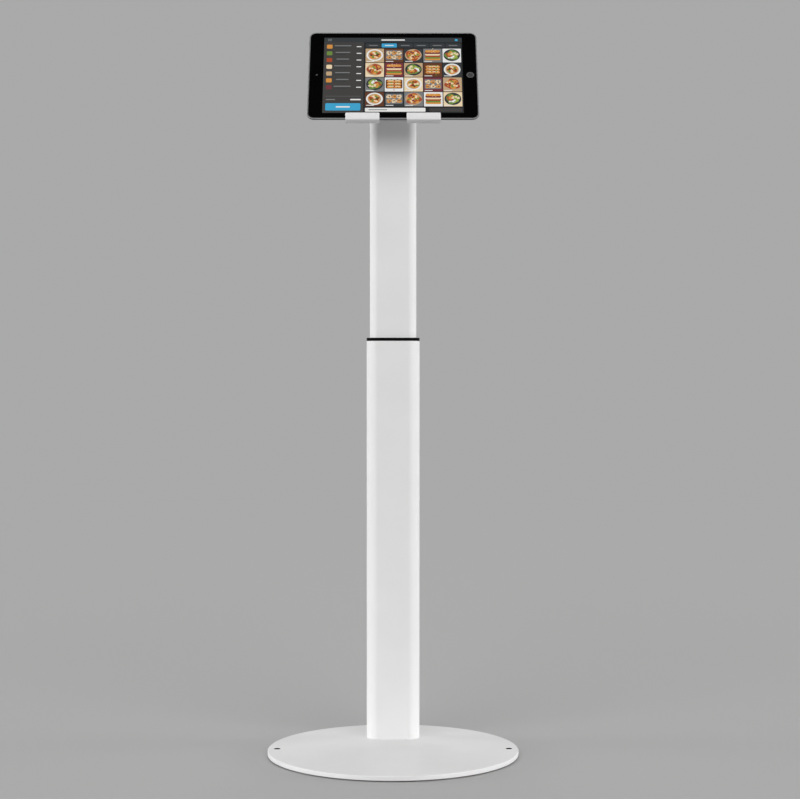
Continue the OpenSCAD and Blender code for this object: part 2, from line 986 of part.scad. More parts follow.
module tablet_glass() {
    color("black")
        in_tablet()
            translate([0, 0, glass_back])
                linear_extrude(glass_t)
                    difference() {
                        rounded_rect(glass_w, glass_h, glass_r);
                        translate([home_x, 0])
                            circle(d = home_d + 2 * fixed_gap);
                        translate([front_camera_x, 0])
                            circle(d = front_camera_d + 2 * fixed_gap);
                    }
}

module tablet_display() {
    color("steelblue")
        in_tablet()
            translate([-screen_w / 2 - panel_border, -screen_h / 2 - panel_border, panel_back])
                cube([screen_w + 2 * panel_border, screen_h + 2 * panel_border, panel_t]);
}

module front_camera() {
    color("dimgray")
        in_tablet()
            translate([front_camera_x, 0, glass_back - glass_t])
                cylinder(d = front_camera_d, h = 2 * glass_t - fixed_gap);
}

module rear_camera() {
    color("black")
        in_tablet()
            translate([rear_camera_x, rear_camera_y, fixed_gap])
                cylinder(d = rear_camera_d, h = 2 * shell_floor);
}

module tablet_battery() {
    color("dimgray")
        in_tablet()
            translate([battery_x - battery_w / 2, -battery_h / 2, shell_floor + pin_gap])
                cube([battery_w, battery_h, battery_t]);
}

module tablet_board() {
    color("darkgreen")
        in_tablet()
            translate([board_x - board_w / 2, board_y - board_h / 2, shell_floor + pin_gap])
                cube([board_w, board_h, board_t]);
}

module home_button() {
    color("gray")
        in_tablet()
            translate([home_x, 0, tablet_t - fixed_gap - home_t])
                cylinder(d = home_d, h = home_t);
}

module power_button() {
    color("darkgray")
        in_tablet()
            at_power()
                side_button(power_len);
}

module volume_up_button() {
    color("darkgray")
        in_tablet()
            at_volume(0)
                side_button(volume_len);
}

module volume_down_button() {
    color("darkgray")
        in_tablet()
            at_volume(1)
                side_button(volume_len);
}

base_plate();
base_feet();
foot_block();
column_screws();
outer_tube();
collar();
lock_boss();
lock_pad();
lock_stud();
lock_knob();
inner_tube();
glide_block();
glide_pins();
head_yoke();
yoke_screws();
hinge_bolt();
disc_springs();
hinge_nut();
tilt_lug();
friction_washers();
cradle_plate();
cradle_screws();
hook_liners();
grip_pads();
tablet_shell();
tablet_glass();
tablet_display();
front_camera();
rear_camera();
tablet_battery();
tablet_board();
home_button();
power_button();
volume_up_button();
volume_down_button();
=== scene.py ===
"""The looks of an adjustable floor stand for a tablet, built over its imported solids.

A round white plate carries a flat-oval column of two tubes. A knob behind the column clamps the
upper tube, and a friction hinge on top tilts a sheet steel cradle with two hooks, in which the
tablet stands. Lengths are in metres, in the frame of the solids: +Z up, the front towards -Y.
"""

import json
import logging
import math
from collections.abc import Iterable, Sequence
from dataclasses import dataclass, field
from enum import Enum

import bmesh
import bpy
import numpy as np
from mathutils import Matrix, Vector
from mathutils.geometry import tessellate_polygon


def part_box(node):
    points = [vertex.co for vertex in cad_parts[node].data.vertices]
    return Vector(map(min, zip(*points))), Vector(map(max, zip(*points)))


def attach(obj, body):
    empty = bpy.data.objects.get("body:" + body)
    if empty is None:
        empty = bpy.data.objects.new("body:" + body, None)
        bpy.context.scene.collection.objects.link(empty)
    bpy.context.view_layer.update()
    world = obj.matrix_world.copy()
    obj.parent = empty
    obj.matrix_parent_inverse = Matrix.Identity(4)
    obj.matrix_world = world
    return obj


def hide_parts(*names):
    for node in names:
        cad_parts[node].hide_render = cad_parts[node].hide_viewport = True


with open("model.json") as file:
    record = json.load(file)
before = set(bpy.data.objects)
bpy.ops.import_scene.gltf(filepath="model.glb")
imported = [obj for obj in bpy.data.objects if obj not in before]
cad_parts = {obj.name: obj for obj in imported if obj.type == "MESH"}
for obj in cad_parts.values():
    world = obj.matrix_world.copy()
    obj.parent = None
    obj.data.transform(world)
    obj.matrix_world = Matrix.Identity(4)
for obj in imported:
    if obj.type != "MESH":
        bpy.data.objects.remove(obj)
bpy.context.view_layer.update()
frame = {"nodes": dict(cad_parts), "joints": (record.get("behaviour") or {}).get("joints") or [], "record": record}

LOG = logging.getLogger("tablet_stand")
MM = 0.001
TURN = 2 * math.pi
QUARTER = math.pi / 2
SHARP_ANGLE = math.radians(38)
Array = np.ndarray
Pair = tuple[float, float]
Triple = tuple[float, float, float]
JOINTS = {joint["name"]: joint for joint in frame["joints"]}
MOUNTS = {mount["name"]: mount for mount in frame["record"]["mounts"]}


def wire(tree: bpy.types.NodeTree, node: bpy.types.Node, inputs: dict) -> bpy.types.Node:
    """Sets or links the inputs of a shader node.

    Args:
        tree: The nodes that it belongs to.
        node: The node.
        inputs: What each input takes, by name or number: a value, or another node's output.

    Returns:
        The node.
    """
    for name, value in inputs.items():
        if isinstance(value, bpy.types.NodeSocket):
            tree.links.new(value, node.inputs[name])
        else:
            node.inputs[name].default_value = value
    return node


def add_node(tree: bpy.types.NodeTree, kind: str, inputs: dict | None = None) -> bpy.types.Node:
    """Adds a shader node of a kind, with its inputs set or linked."""
    return wire(tree, tree.nodes.new("ShaderNode" + kind), inputs or {})


class Grain(Enum):
    """The fine relief of a finish."""

    PEEL = "soft cells of a powder coat"
    CLOUD = "even noise of moulded plastic, rubber and blasted metal"


@dataclass(frozen=True)
class Finish:
    """A surface finish, made into one procedural material.

    Attributes:
        name: The finish in a maker's words.
        slot: The record's material slot that it stands for; not used.
        colour: The linear colour.
        shade: The linear colour that soft clouds mix into it.
        roughness: The smooth and the rough end of the surface, which the grain mixes.
        grain_size: The size of one grain.
        relief: The height of the grain.
        grain: The kind of fine relief.
        stretch: How much finer the pattern is along X, Y and Z, for brushed metal.
        cloud_size: The size of the clouds.
        cloud_stops: Where in the clouds the shade ends and the plain colour starts.
        metallic: 1 for bare metal.
        specular: How strongly it reflects, 0.5 for plain plastic, glass and lacquer.
        coat: The weight of a clear layer on top.
        coat_roughness: The roughness of that layer.
        glow: The colour of the surface's own light.
    """

    name: str
    slot: str
    colour: Triple
    shade: Triple
    roughness: Pair
    grain_size: float
    relief: float
    grain: Grain = Grain.CLOUD
    stretch: Triple = (1.0, 1.0, 1.0)
    cloud_size: float = 60 * MM
    cloud_stops: Pair = (0.25, 0.75)
    metallic: float = 0.0
    specular: float = 0.5
    coat: float = 0.0
    coat_roughness: float = 0.06
    glow: Triple = (0.0, 0.0, 0.0)

    def material(self) -> bpy.types.Material:
        """Makes the material, or gives the one made before.

        Soft noise mixes the two colours, and the grain drives both roughness and bump.

        Returns:
            The material.
        """
        if self.name in bpy.data.materials:
            return bpy.data.materials[self.name]
        material = bpy.data.materials.new(self.name)
        material.use_nodes = True
        tree = material.node_tree
        place = add_node(tree, "TexCoord").outputs["Object"]
        place = add_node(tree, "Mapping", {"Vector": place, "Scale": self.stretch}).outputs["Vector"]
        clouds = add_node(tree, "TexNoise", {"Vector": place, "Scale": 1 / self.cloud_size, "Detail": 4})
        tone = add_node(tree, "ValToRGB", {"Fac": clouds.outputs[0]})
        ends = zip(tone.color_ramp.elements, (self.shade, self.colour), self.cloud_stops)
        for stop, colour, position in ends:
            stop.color = (*colour, 1)
            stop.position = position
        grains = {"Vector": place, "Scale": 1 / self.grain_size}
        if self.grain is Grain.PEEL:
            relief = add_node(tree, "TexVoronoi", grains)
            relief.feature = "SMOOTH_F1"
        else:
            relief = add_node(tree, "TexNoise", grains | {"Detail": 2})
        height, (smooth, rough) = relief.outputs[0], self.roughness
        spread = add_node(tree, "MapRange", {"Value": height, "To Min": smooth, "To Max": rough})
        bump = add_node(tree, "Bump", {"Height": height, "Distance": self.relief})
        wire(tree, tree.nodes["Principled BSDF"], {
            "Base Color": tone.outputs["Color"],
            "Roughness": spread.outputs["Result"],
            "Normal": bump.outputs["Normal"],
            "Metallic": self.metallic,
            "Specular IOR Level": self.specular,
            "Coat Weight": self.coat,
            "Coat Roughness": self.coat_roughness,
            "Emission Color": (*self.glow, 1),
            "Emission Strength": 1.0 if any(self.glow) else 0.0,
        })
        return material


WHITE_COAT = Finish("white powder coat", "white_coat", (0.80, 0.795, 0.795), (0.77, 0.766, 0.768),
                    (0.4, 0.52), 1.4 * MM, 0.012 * MM, Grain.PEEL, specular=0.35)
WHITE_CAST = Finish("white coated casting", "white_cast", (0.79, 0.786, 0.786), (0.74, 0.737, 0.74),
                    (0.42, 0.6), 1.1 * MM, 0.012 * MM, Grain.PEEL, specular=0.35)
BLACK_PLASTIC = Finish("black grained plastic", "black_plastic", (0.011, 0.011, 0.0115),
                       (0.016, 0.016, 0.017), (0.34, 0.5), 0.5 * MM, 0.03 * MM, specular=0.4)
COLLAR_BLACK = Finish("matt black moulding", "black_plastic", (0.003, 0.003, 0.0032),
                      (0.005, 0.005, 0.0052), (0.6, 0.75), 0.5 * MM, 0.02 * MM, specular=0.08)
DARK_NYLON = Finish("dark nylon", "dark_nylon", (0.05, 0.05, 0.052), (0.07, 0.07, 0.073),
                    (0.45, 0.6), 0.8 * MM, 0.02 * MM)
RUBBER = Finish("black rubber", "rubber", (0.022, 0.022, 0.023), (0.038, 0.037, 0.037),
                (0.7, 0.9), 0.4 * MM, 0.05 * MM, cloud_size=15 * MM)
STEEL = Finish("zinc plated steel", "steel", (0.62, 0.62, 0.6), (0.5, 0.51, 0.52), (0.2, 0.38),
               0.5 * MM, 0.006 * MM, stretch=(1.0, 0.3, 1.0), cloud_size=6 * MM, metallic=1.0)
DARK_STEEL = Finish("blackened spring steel", "dark_steel", (0.13, 0.13, 0.135), (0.2, 0.19, 0.18),
                    (0.3, 0.5), 0.5 * MM, 0.008 * MM, cloud_size=6 * MM, metallic=1.0)
BRASS = Finish("turned brass", "brass", (0.65, 0.46, 0.17), (0.55, 0.38, 0.13), (0.22, 0.4),
               0.4 * MM, 0.006 * MM, stretch=(1.0, 0.2, 1.0), cloud_size=5 * MM, metallic=1.0)
# Darker than the tablet metal's own grey, as painted shade on the shell and the side keys.
SHADED_ALUMINIUM = Finish("grey anodised aluminium", "tablet_metal", (0.17, 0.173, 0.18),
                        (0.155, 0.158, 0.164), (0.36, 0.48), 0.25 * MM, 0.006 * MM,
                        cloud_size=80 * MM, metallic=0.4)
# A lighter copy of the same tablet metal, as a painted highlight on the rim.
LIT_RIM = Finish("bright cut rim", "tablet_metal", (0.42, 0.424, 0.434), (0.39, 0.394, 0.404),
                    (0.3, 0.4), 0.25 * MM, 0.004 * MM, cloud_size=80 * MM, metallic=0.5)
BLACK_GLASS = Finish("black edged cover glass", "black_glass", (0.0012, 0.0012, 0.0014),
                     (0.002, 0.002, 0.0022), (0.03, 0.06), 6 * MM, 0.0002 * MM)
LENS = Finish("camera window", "lens", (0.006, 0.007, 0.012), (0.012, 0.012, 0.02),
              (0.02, 0.05), 2 * MM, 0.0002 * MM, cloud_size=3 * MM, coat=1.0)
FRONT_LENS = Finish("front camera window", "lens", (0.12, 0.12, 0.13), (0.09, 0.09, 0.1),
                    (0.1, 0.2), 1 * MM, 0.0002 * MM, cloud_size=2 * MM)
KEY_PLASTIC = Finish("grey home button", "button_plastic", (0.066, 0.066, 0.068), (0.054, 0.054, 0.056),
                     (0.2, 0.3), 2 * MM, 0.0005 * MM)
KEY_RING = Finish("satin button ring", "button_plastic", (0.115, 0.115, 0.118), (0.1, 0.1, 0.103),
                  (0.25, 0.35), 1 * MM, 0.001 * MM)
BATTERY_FOIL = Finish("battery foil", "battery", (0.05, 0.05, 0.055), (0.08, 0.08, 0.085),
                      (0.35, 0.5), 1.5 * MM, 0.03 * MM)
BOARD_GREEN = Finish("green circuit board", "circuit_board", (0.02, 0.09, 0.05), (0.03, 0.12, 0.06),
                     (0.3, 0.45), 0.8 * MM, 0.02 * MM)
PANEL_BLACK = Finish("display panel", "display", (0.02, 0.02, 0.022), (0.03, 0.03, 0.032),
                     (0.2, 0.3), 1 * MM, 0.002 * MM)


@dataclass(frozen=True)
class Basis:
    """A local frame in the stand: an origin and three unit axes at right angles."""

    origin: Array
    x: Array
    y: Array
    z: Array

    def place(self, local: Array) -> Array:
        """Carries local points into the stand's frame, as origin plus their parts along the axes."""
        return self.origin + local @ np.stack([self.x, self.y, self.z])

    def at(self, x: float, y: float, z: float) -> "Basis":
        """Gives the same axes at another local point."""
        return Basis(self.place(np.array([x, y, z])), self.x, self.y, self.z)

    def span(self, node: str, axis: int) -> Pair:
        """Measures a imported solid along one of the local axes.

        Args:
            node: The solid's node.
            axis: 0, 1 or 2 for x, y or z.

        Returns:
            Its lowest and highest local coordinate.
        """
        vertices = frame["nodes"][node].data.vertices
        flat = np.empty(3 * len(vertices), np.float32)
        vertices.foreach_get("co", flat)
        along = (flat.reshape(-1, 3) - self.origin) @ (self.x, self.y, self.z)[axis]
        return float(along.min()), float(along.max())

    def middle(self, node: str, axis: int) -> float:
        """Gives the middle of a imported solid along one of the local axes."""
        return sum(self.span(node, axis)) / 2

    def size(self, node: str, axis: int) -> float:
        """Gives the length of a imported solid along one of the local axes."""
        low, high = self.span(node, axis)
        return high - low


ACROSS, BACK, UP = np.eye(3)
FLOOR = Basis(np.zeros(3), ACROSS, BACK, UP)
COLUMN = FLOOR.at(0, FLOOR.middle("outer_tube", 1), 0)
LOCK = Basis(np.array(JOINTS["knob_turn"]["pos_m"]), ACROSS, -UP, BACK)
PIVOT = np.array(JOINTS["tilt"]["pos_m"])
HINGE = Basis(PIVOT, BACK, UP, ACROSS)
SCREEN_UP = np.array(JOINTS["tablet_lift"]["axis"])
SCREEN_OUT = np.cross(ACROSS, SCREEN_UP)
HEAD = Basis(PIVOT, ACROSS, SCREEN_UP, SCREEN_OUT)
LUG = Basis(PIVOT, SCREEN_UP, SCREEN_OUT, ACROSS)
TABLET = HEAD.at(0, HEAD.middle("tablet_glass", 1), HEAD.span("tablet_glass", 2)[1])


def unit(vectors: Array) -> Array:
    """Scales vectors to length one."""
    return vectors / np.linalg.norm(vectors, axis=-1, keepdims=True)


def angles(count: int) -> Array:
    """Gives even angles round a circle."""
    return np.arange(count) * TURN / count


def arc(angle: Array) -> Array:
    """Gives the points of a unit circle at the angles: cosine and sine."""
    return np.stack([np.cos(angle), np.sin(angle)], axis=1)


def quarter(steps: int) -> Array:
    """Gives a hollow quarter round from (1, 0) to (0, 1): one less the sine and the cosine."""
    return 1 - arc(np.linspace(0, QUARTER, steps + 1))[:, ::-1]


def round_corners(corners: Sequence | Array, radii: float | Sequence, steps: int = 4,
                  closed: bool = True) -> Array:
    """Rounds the corners of an outline or a path.

    Each arc is centred on its corner's bisector, at radius / sin(half the angle), and turns evenly
    between the points where it meets the two sides.

    Args:
        corners: (n, 2) corners.
        radii: One radius for all, or one for each corner. The two ends of a path have none.
        steps: Segments in one arc.
        closed: False for a path, which keeps its two ends.

    Returns:
        (m, 2) points.
    """
    points = np.asarray(corners, float)
    inner = slice(None) if closed else slice(1, -1)
    corner = points[inner]
    before = unit(np.roll(points, 1, 0) - points)[inner]
    after = unit(np.roll(points, -1, 0) - points)[inner]
    half = 0.5 * np.arccos(np.clip((before * after).sum(1), -1, 1))[:, None]
    radius = np.broadcast_to(np.asarray(radii, float), len(corner))[:, None]
    centre = corner + unit(before + after) * radius / np.sin(half)
    start = corner + before * radius / np.tan(half) - centre
    end = corner + after * radius / np.tan(half) - centre
    turn = math.pi - 2 * half
    share = np.linspace(0, 1, steps + 1)[None]
    first, last = np.sin((1 - share) * turn) / np.sin(turn), np.sin(share * turn) / np.sin(turn)
    arcs = centre[:, None] + first[..., None] * start[:, None] + last[..., None] * end[:, None]
    arcs = arcs.reshape(-1, 2)
    return arcs if closed else np.concatenate([points[:1], arcs, points[-1:]])


def rectangle(width: float, height: float, radius: float, steps: int = 8) -> Array:
    """Gives a rectangle with round corners, centred, anticlockwise.

    Args:
        width: Its size along x.
        height: Its size along y.
        radius: The corner radius.
        steps: Segments in one corner.

    Returns:
        (n, 2) points.
    """
    corners = np.array([[1, -1], [1, 1], [-1, 1], [-1, -1]]) * (width / 2, height / 2)
    return round_corners(corners, radius, steps)


def circle(radius: float, sides: int = 48, centre: Pair = (0, 0)) -> Array:
    """Gives the points of a circle round a centre, anticlockwise."""
    return np.array(centre) + radius * arc(angles(sides))


def pill(length: float, height: float, sides: int = 32) -> Array:
    """Gives a slot shape with round ends: a circle whose two halves are drawn apart along x.

    Args:
        length: Its whole length.
        height: Its width.
        sides: Its number of points, a multiple of 4.

    Returns:
        (sides, 2) points.
    """
    angle = (np.arange(sides) + 0.5) * TURN / sides
    shift = (length - height) / 2 * np.sign(np.cos(angle))
    return np.stack([shift + height / 2 * np.cos(angle), height / 2 * np.sin(angle)], axis=1)


def outward(outline: Array) -> Array:
    """Gives the unit normals of an anticlockwise outline: each point's chord, turned right."""
    chord = np.roll(outline, -1, 0) - np.roll(outline, 1, 0)
    return unit(np.stack([chord[:, 1], -chord[:, 0]], axis=1))


def raised(outline: Array, height: float) -> Array:
    """Lifts a flat outline to a height."""
    return np.insert(outline, 2, height, axis=1)


def carry(outline: Array, profile: Array) -> Array:
    """Carries a profile round an outline: each point is the outline less inset times its normal.

    Args:
        outline: (n, 2) anticlockwise points.
        profile: (k, 2) points of inset and height.

    Returns:
        (k, n, 3) grid of points.
    """
    flat = outline - profile[:, None, :1] * outward(outline)
    return np.dstack([flat, np.broadcast_to(profile[:, 1:], flat.shape[:2])])


def rings(reach: Array, height: Array) -> Array:
    """Lays rings round the local z axis, with points at even angles.

    Args:
        reach: (k, n) radii.
        height: (k, 1) heights.

    Returns:
        (k, n, 3) grid of points.
    """
    flat = reach[..., None] * circle(1, reach.shape[1])
    return np.dstack([flat, np.broadcast_to(height, reach.shape)])


def turned(profile: Array, sides: int) -> Array:
    """Turns a profile of radius and height round the local z axis, into a grid of points."""
    return rings(profile[:, :1] * np.ones(sides), profile[:, 1:])


def edge_profile(low: float, high: float, edge: float, steps: int = 4) -> Array:
    """Gives the side of a slab as inset and height: a quarter round, a wall, a quarter round.

    Args:
        low: The lower face.
        high: The upper face.
        edge: The radius of both edges.
        steps: Segments in one edge.

    Returns:
        (k, 2) points, from the lower face to the upper.
    """
    bend = edge * quarter(steps)
    return np.concatenate([bend + (0, low), bend[::-1] * (1, -1) + (0, high)])


@dataclass
class Shape:
    """A mesh in the making: points and faces, in a piece's own local frame."""

    points: list[Array] = field(default_factory=list)
    faces: list[list[int]] = field(default_factory=list)

    def add(self, points: Array) -> Array:
        """Adds points, numbered on from those already there.

        Args:
            points: (..., 3) points.

        Returns:
            Their numbers, in the same layout.
        """
        start = sum(map(len, self.points))
        self.points.append(points.reshape(-1, 3))
        return start + np.arange(points[..., 0].size).reshape(points.shape[:-1])

    def skin(self, ids: Array, closed_rows: bool = False) -> None:
        """Joins a grid of point numbers with four-sided faces, closed along each row.

        Args:
            ids: (k, n) point numbers.
            closed_rows: True to join the last row to the first as well.
        """
        grid = np.concatenate([ids, ids[:1]]) if closed_rows else ids
        grid = np.concatenate([grid, grid[:, :1]], axis=1)
        corners = [grid[:-1, :-1], grid[:-1, 1:], grid[1:, 1:], grid[1:, :-1]]
        self.faces += np.stack(corners, axis=-1).reshape(-1, 4).tolist()

    def fan(self, ring: Array, tip: Triple) -> None:
        """Closes a ring of point numbers with triangles to one tip."""
        top = np.broadcast_to(self.add(np.array([tip], float)), ring.shape)
        self.faces += np.stack([ring, np.roll(ring, -1), top], axis=1).tolist()

    def fill(self, *loops: Array) -> None:
        """Closes a flat outline with triangles.

        Args:
            loops: The point numbers of the outline, and then of each hole in it.
        """
        points, order = np.concatenate(self.points), np.concatenate(loops)
        flat = [list(map(Vector, points[loop])) for loop in loops]
        self.faces += order[np.array(tessellate_polygon(flat))].tolist()

    def join(self, other: "Shape", basis: Basis) -> "Shape":
        """Adds another shape, carried from its own basis into this one's frame.

        Args:
            other: The shape to add.
            basis: Where it was made.

        Returns:
            This shape.
        """
        ids = self.add(basis.place(np.concatenate(other.points)))
        self.faces += [ids[face].tolist() for face in other.faces]
        return self

    def copied(self, places: Iterable[Basis]) -> "Shape":
        """Repeats the shape.

        Args:
            places: The basis of each copy.

        Returns:
            A new shape that holds the copies.
        """
        group = Shape()
        for place in places:
            group.join(self, place)
        return group

    def hoop(self, grid: Array) -> "Shape":
        """Adds a grid of points that closes both ways, such as a tube, and gives the shape back."""
        self.skin(self.add(grid), closed_rows=True)
        return self

    def spindle(self, grid: Array, low: float, high: float) -> "Shape":
        """Adds rings of points whose two ends close on the local z axis.

        Args:
            grid: (k, n, 3) points.
            low: Where the first ring closes.
            high: Where the last ring closes.

        Returns:
            The shape itself.
        """
        ids = self.add(grid)
        self.skin(ids)
        self.fan(ids[0], (0, 0, low))
        self.fan(ids[-1], (0, 0, high))
        return self

    def lathe(self, profile: Array, sides: int = 64) -> "Shape":
        """Adds a solid turned from a profile of radius and height, which starts and ends on the axis."""
        return self.spindle(turned(profile[1:-1], sides), profile[0, 1], profile[-1, 1])

    def slab(self, outline: Array, low: float, high: float, edge: float,
             holes: Sequence[tuple[Array, Array]] = ()) -> "Shape":
        """Adds a flat slab with rounded edges.

        Args:
            outline: (n, 2) anticlockwise points.
            low: The lower face.
            high: The upper face.
            edge: The radius of the edges.
            holes: The outline of each hole on the lower and on the upper face.

        Returns:
            The shape itself.
        """
        side = self.add(carry(outline, edge_profile(low, high, edge)))
        self.skin(side)
        mouths = [self.add(np.stack([raised(under, low), raised(over, high)])) for under, over in holes]
        for mouth in mouths:
            self.skin(mouth)
        self.fill(side[0], *(mouth[0] for mouth in mouths))
        self.fill(side[-1], *(mouth[1] for mouth in mouths))
        return self

    def mesh(self, name: str) -> bpy.types.Mesh:
        """Makes a mesh of the shape, with its faces turned outwards.

        Args:
            name: The mesh's name.

        Returns:
            The mesh.
        """
        mesh, skin = bpy.data.meshes.new(name), bmesh.new()
        mesh.from_pydata(np.concatenate(self.points), [], self.faces)
        skin.from_mesh(mesh)
        bmesh.ops.recalc_face_normals(skin, faces=skin.faces)
        skin.to_mesh(mesh)
        skin.free()
        return mesh

    @classmethod
    def read(cls, mesh: bpy.types.Mesh) -> "Shape":
        """Takes a mesh back into a shape, and drops the mesh.

        Args:
            mesh: The mesh to read.

        Returns:
            Its points and faces.
        """
        points = np.empty(3 * len(mesh.vertices), np.float32)
        corners, counts = np.empty(len(mesh.loops), np.int32), np.empty(len(mesh.polygons), np.int32)
        mesh.vertices.foreach_get("co", points)
        mesh.loops.foreach_get("vertex_index", corners)
        mesh.polygons.foreach_get("loop_total", counts)
        bpy.data.meshes.remove(mesh)
        faces = np.split(corners, np.cumsum(counts)[:-1])
        return cls([points.reshape(-1, 3).astype(float)], [face.tolist() for face in faces])

    def cut_across(self, levels: Array) -> "Shape":
        """Cuts every face along lines of equal local y, so that a flat sheet can bend there.

        Args:
            levels: The heights of the cuts.

        Returns:
            The cut shape.
        """
        mesh, cut = self.mesh("blank"), bmesh.new()
        cut.from_mesh(mesh)
        for level in levels:
            bmesh.ops.bisect_plane(cut, geom=[*cut.verts, *cut.edges, *cut.faces],
                                   plane_co=(0, level, 0), plane_no=(0, 1, 0))
        cut.to_mesh(mesh)
        cut.free()
        return self.read(mesh)

    def less(self, tool: "Shape") -> "Shape":
        """Cuts another closed shape out of this one.

        Args:
            tool: What is cut away, in the same frame.

        Returns:
            The cut shape.
        """
        stock, drill = (bpy.data.objects.new("cut", shape.mesh("cut")) for shape in (self, tool))
        for part in (stock, drill):
            bpy.context.scene.collection.objects.link(part)
        modifier = stock.modifiers.new("cut", "BOOLEAN")
        modifier.object, modifier.solver = drill, "EXACT"
        view = bpy.context.evaluated_depsgraph_get()
        shape = self.read(bpy.data.meshes.new_from_object(stock.evaluated_get(view)))
        for part in (stock, drill):
            bpy.data.meshes.remove(part.data)
        return shape

    def publish(self, name: str, basis: Basis, finish: Finish, body: str, *nodes: str) -> None:
        """Makes the shape a finished piece that rides on a body.

        Args:
            name: The piece's name.
            basis: The local frame that the shape was made in.
            finish: What it is coated with or made of.
            body: The body that it moves with.
            nodes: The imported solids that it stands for.
        """
        mesh = Shape([basis.place(np.concatenate(self.points))], self.faces).mesh(name)
        mesh.polygons.foreach_set("use_smooth", np.ones(len(mesh.polygons), bool))
        mesh.set_sharp_from_angle(angle=SHARP_ANGLE)
        mesh.materials.append(finish.material())
        piece = bpy.data.objects.new(name, mesh)
        bpy.context.scene.collection.objects.link(piece)
        shading = piece.modifiers.new("even shading", "WEIGHTED_NORMAL")
        shading.keep_sharp = True
        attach(piece, body)
        if nodes:
            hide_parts(*nodes)
        LOG.info("%s: %d faces in %s, rides on %s", name, len(mesh.polygons), finish.name, body)


def dress(node: str, finish: Finish) -> None:
    """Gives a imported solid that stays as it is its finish.

    Args:
        node: The solid's node.
        finish: What it is made of.
    """
    mesh = frame["nodes"][node].data
    mesh.materials.clear()
    mesh.materials.append(finish.material())
    LOG.info("%s: kept solid in %s", node, finish.name)


def hexagon(across: float, sides: int) -> Array:
    """Gives a hexagon's radius at even angles: half its width over the cosine from a flat's middle."""
    return across / 2 / np.cos((angles(sides) + math.pi / 6) % (math.pi / 3) - math.pi / 6)


def socket_screw(profile: Array, across: float, depth: float, sides: int = 96) -> Shape:
    """Turns a screw along +z, with a hexagon socket sunk into its head's face.

    The socket is a little wider at its mouth, and its floor is a shallow cone.

    Args:
        profile: (k, 2) points of radius and height, from the face at height zero to the tail's middle.
        across: The socket's width across its flats.
        depth: The socket's depth.
        sides: Points round the axis, a multiple of 6.

    Returns:
        The screw.
    """
    widths, depths = np.array([[1], [1], [1.06]]), np.array([[1], [0.08], [0]])
    socket = rings(hexagon(across, sides) * widths, depth * depths)
    grid = np.concatenate([socket, turned(profile[:-1], sides)])
    return Shape().spindle(grid, 1.15 * depth, profile[-1, 1])


def countersunk(size: float, length: float) -> Shape:
    """Makes a countersunk screw: a cone at 45 degrees, from a head twice as wide as the thread.

    Args:
        size: The thread's width, of which head, socket and edges are shares.
        length: The whole length.

    Returns:
        The screw, along +z from its head's face.
    """
    half = size / 2
    profile = round_corners([[0.6 * size, 0], [size, 0], [half, half], [half, length], [0, length]],
                            [0.02 * size, 0.05 * size, 0.12 * size], closed=False)
    return socket_screw(profile, 0.65 * size, 0.4 * size, 48)


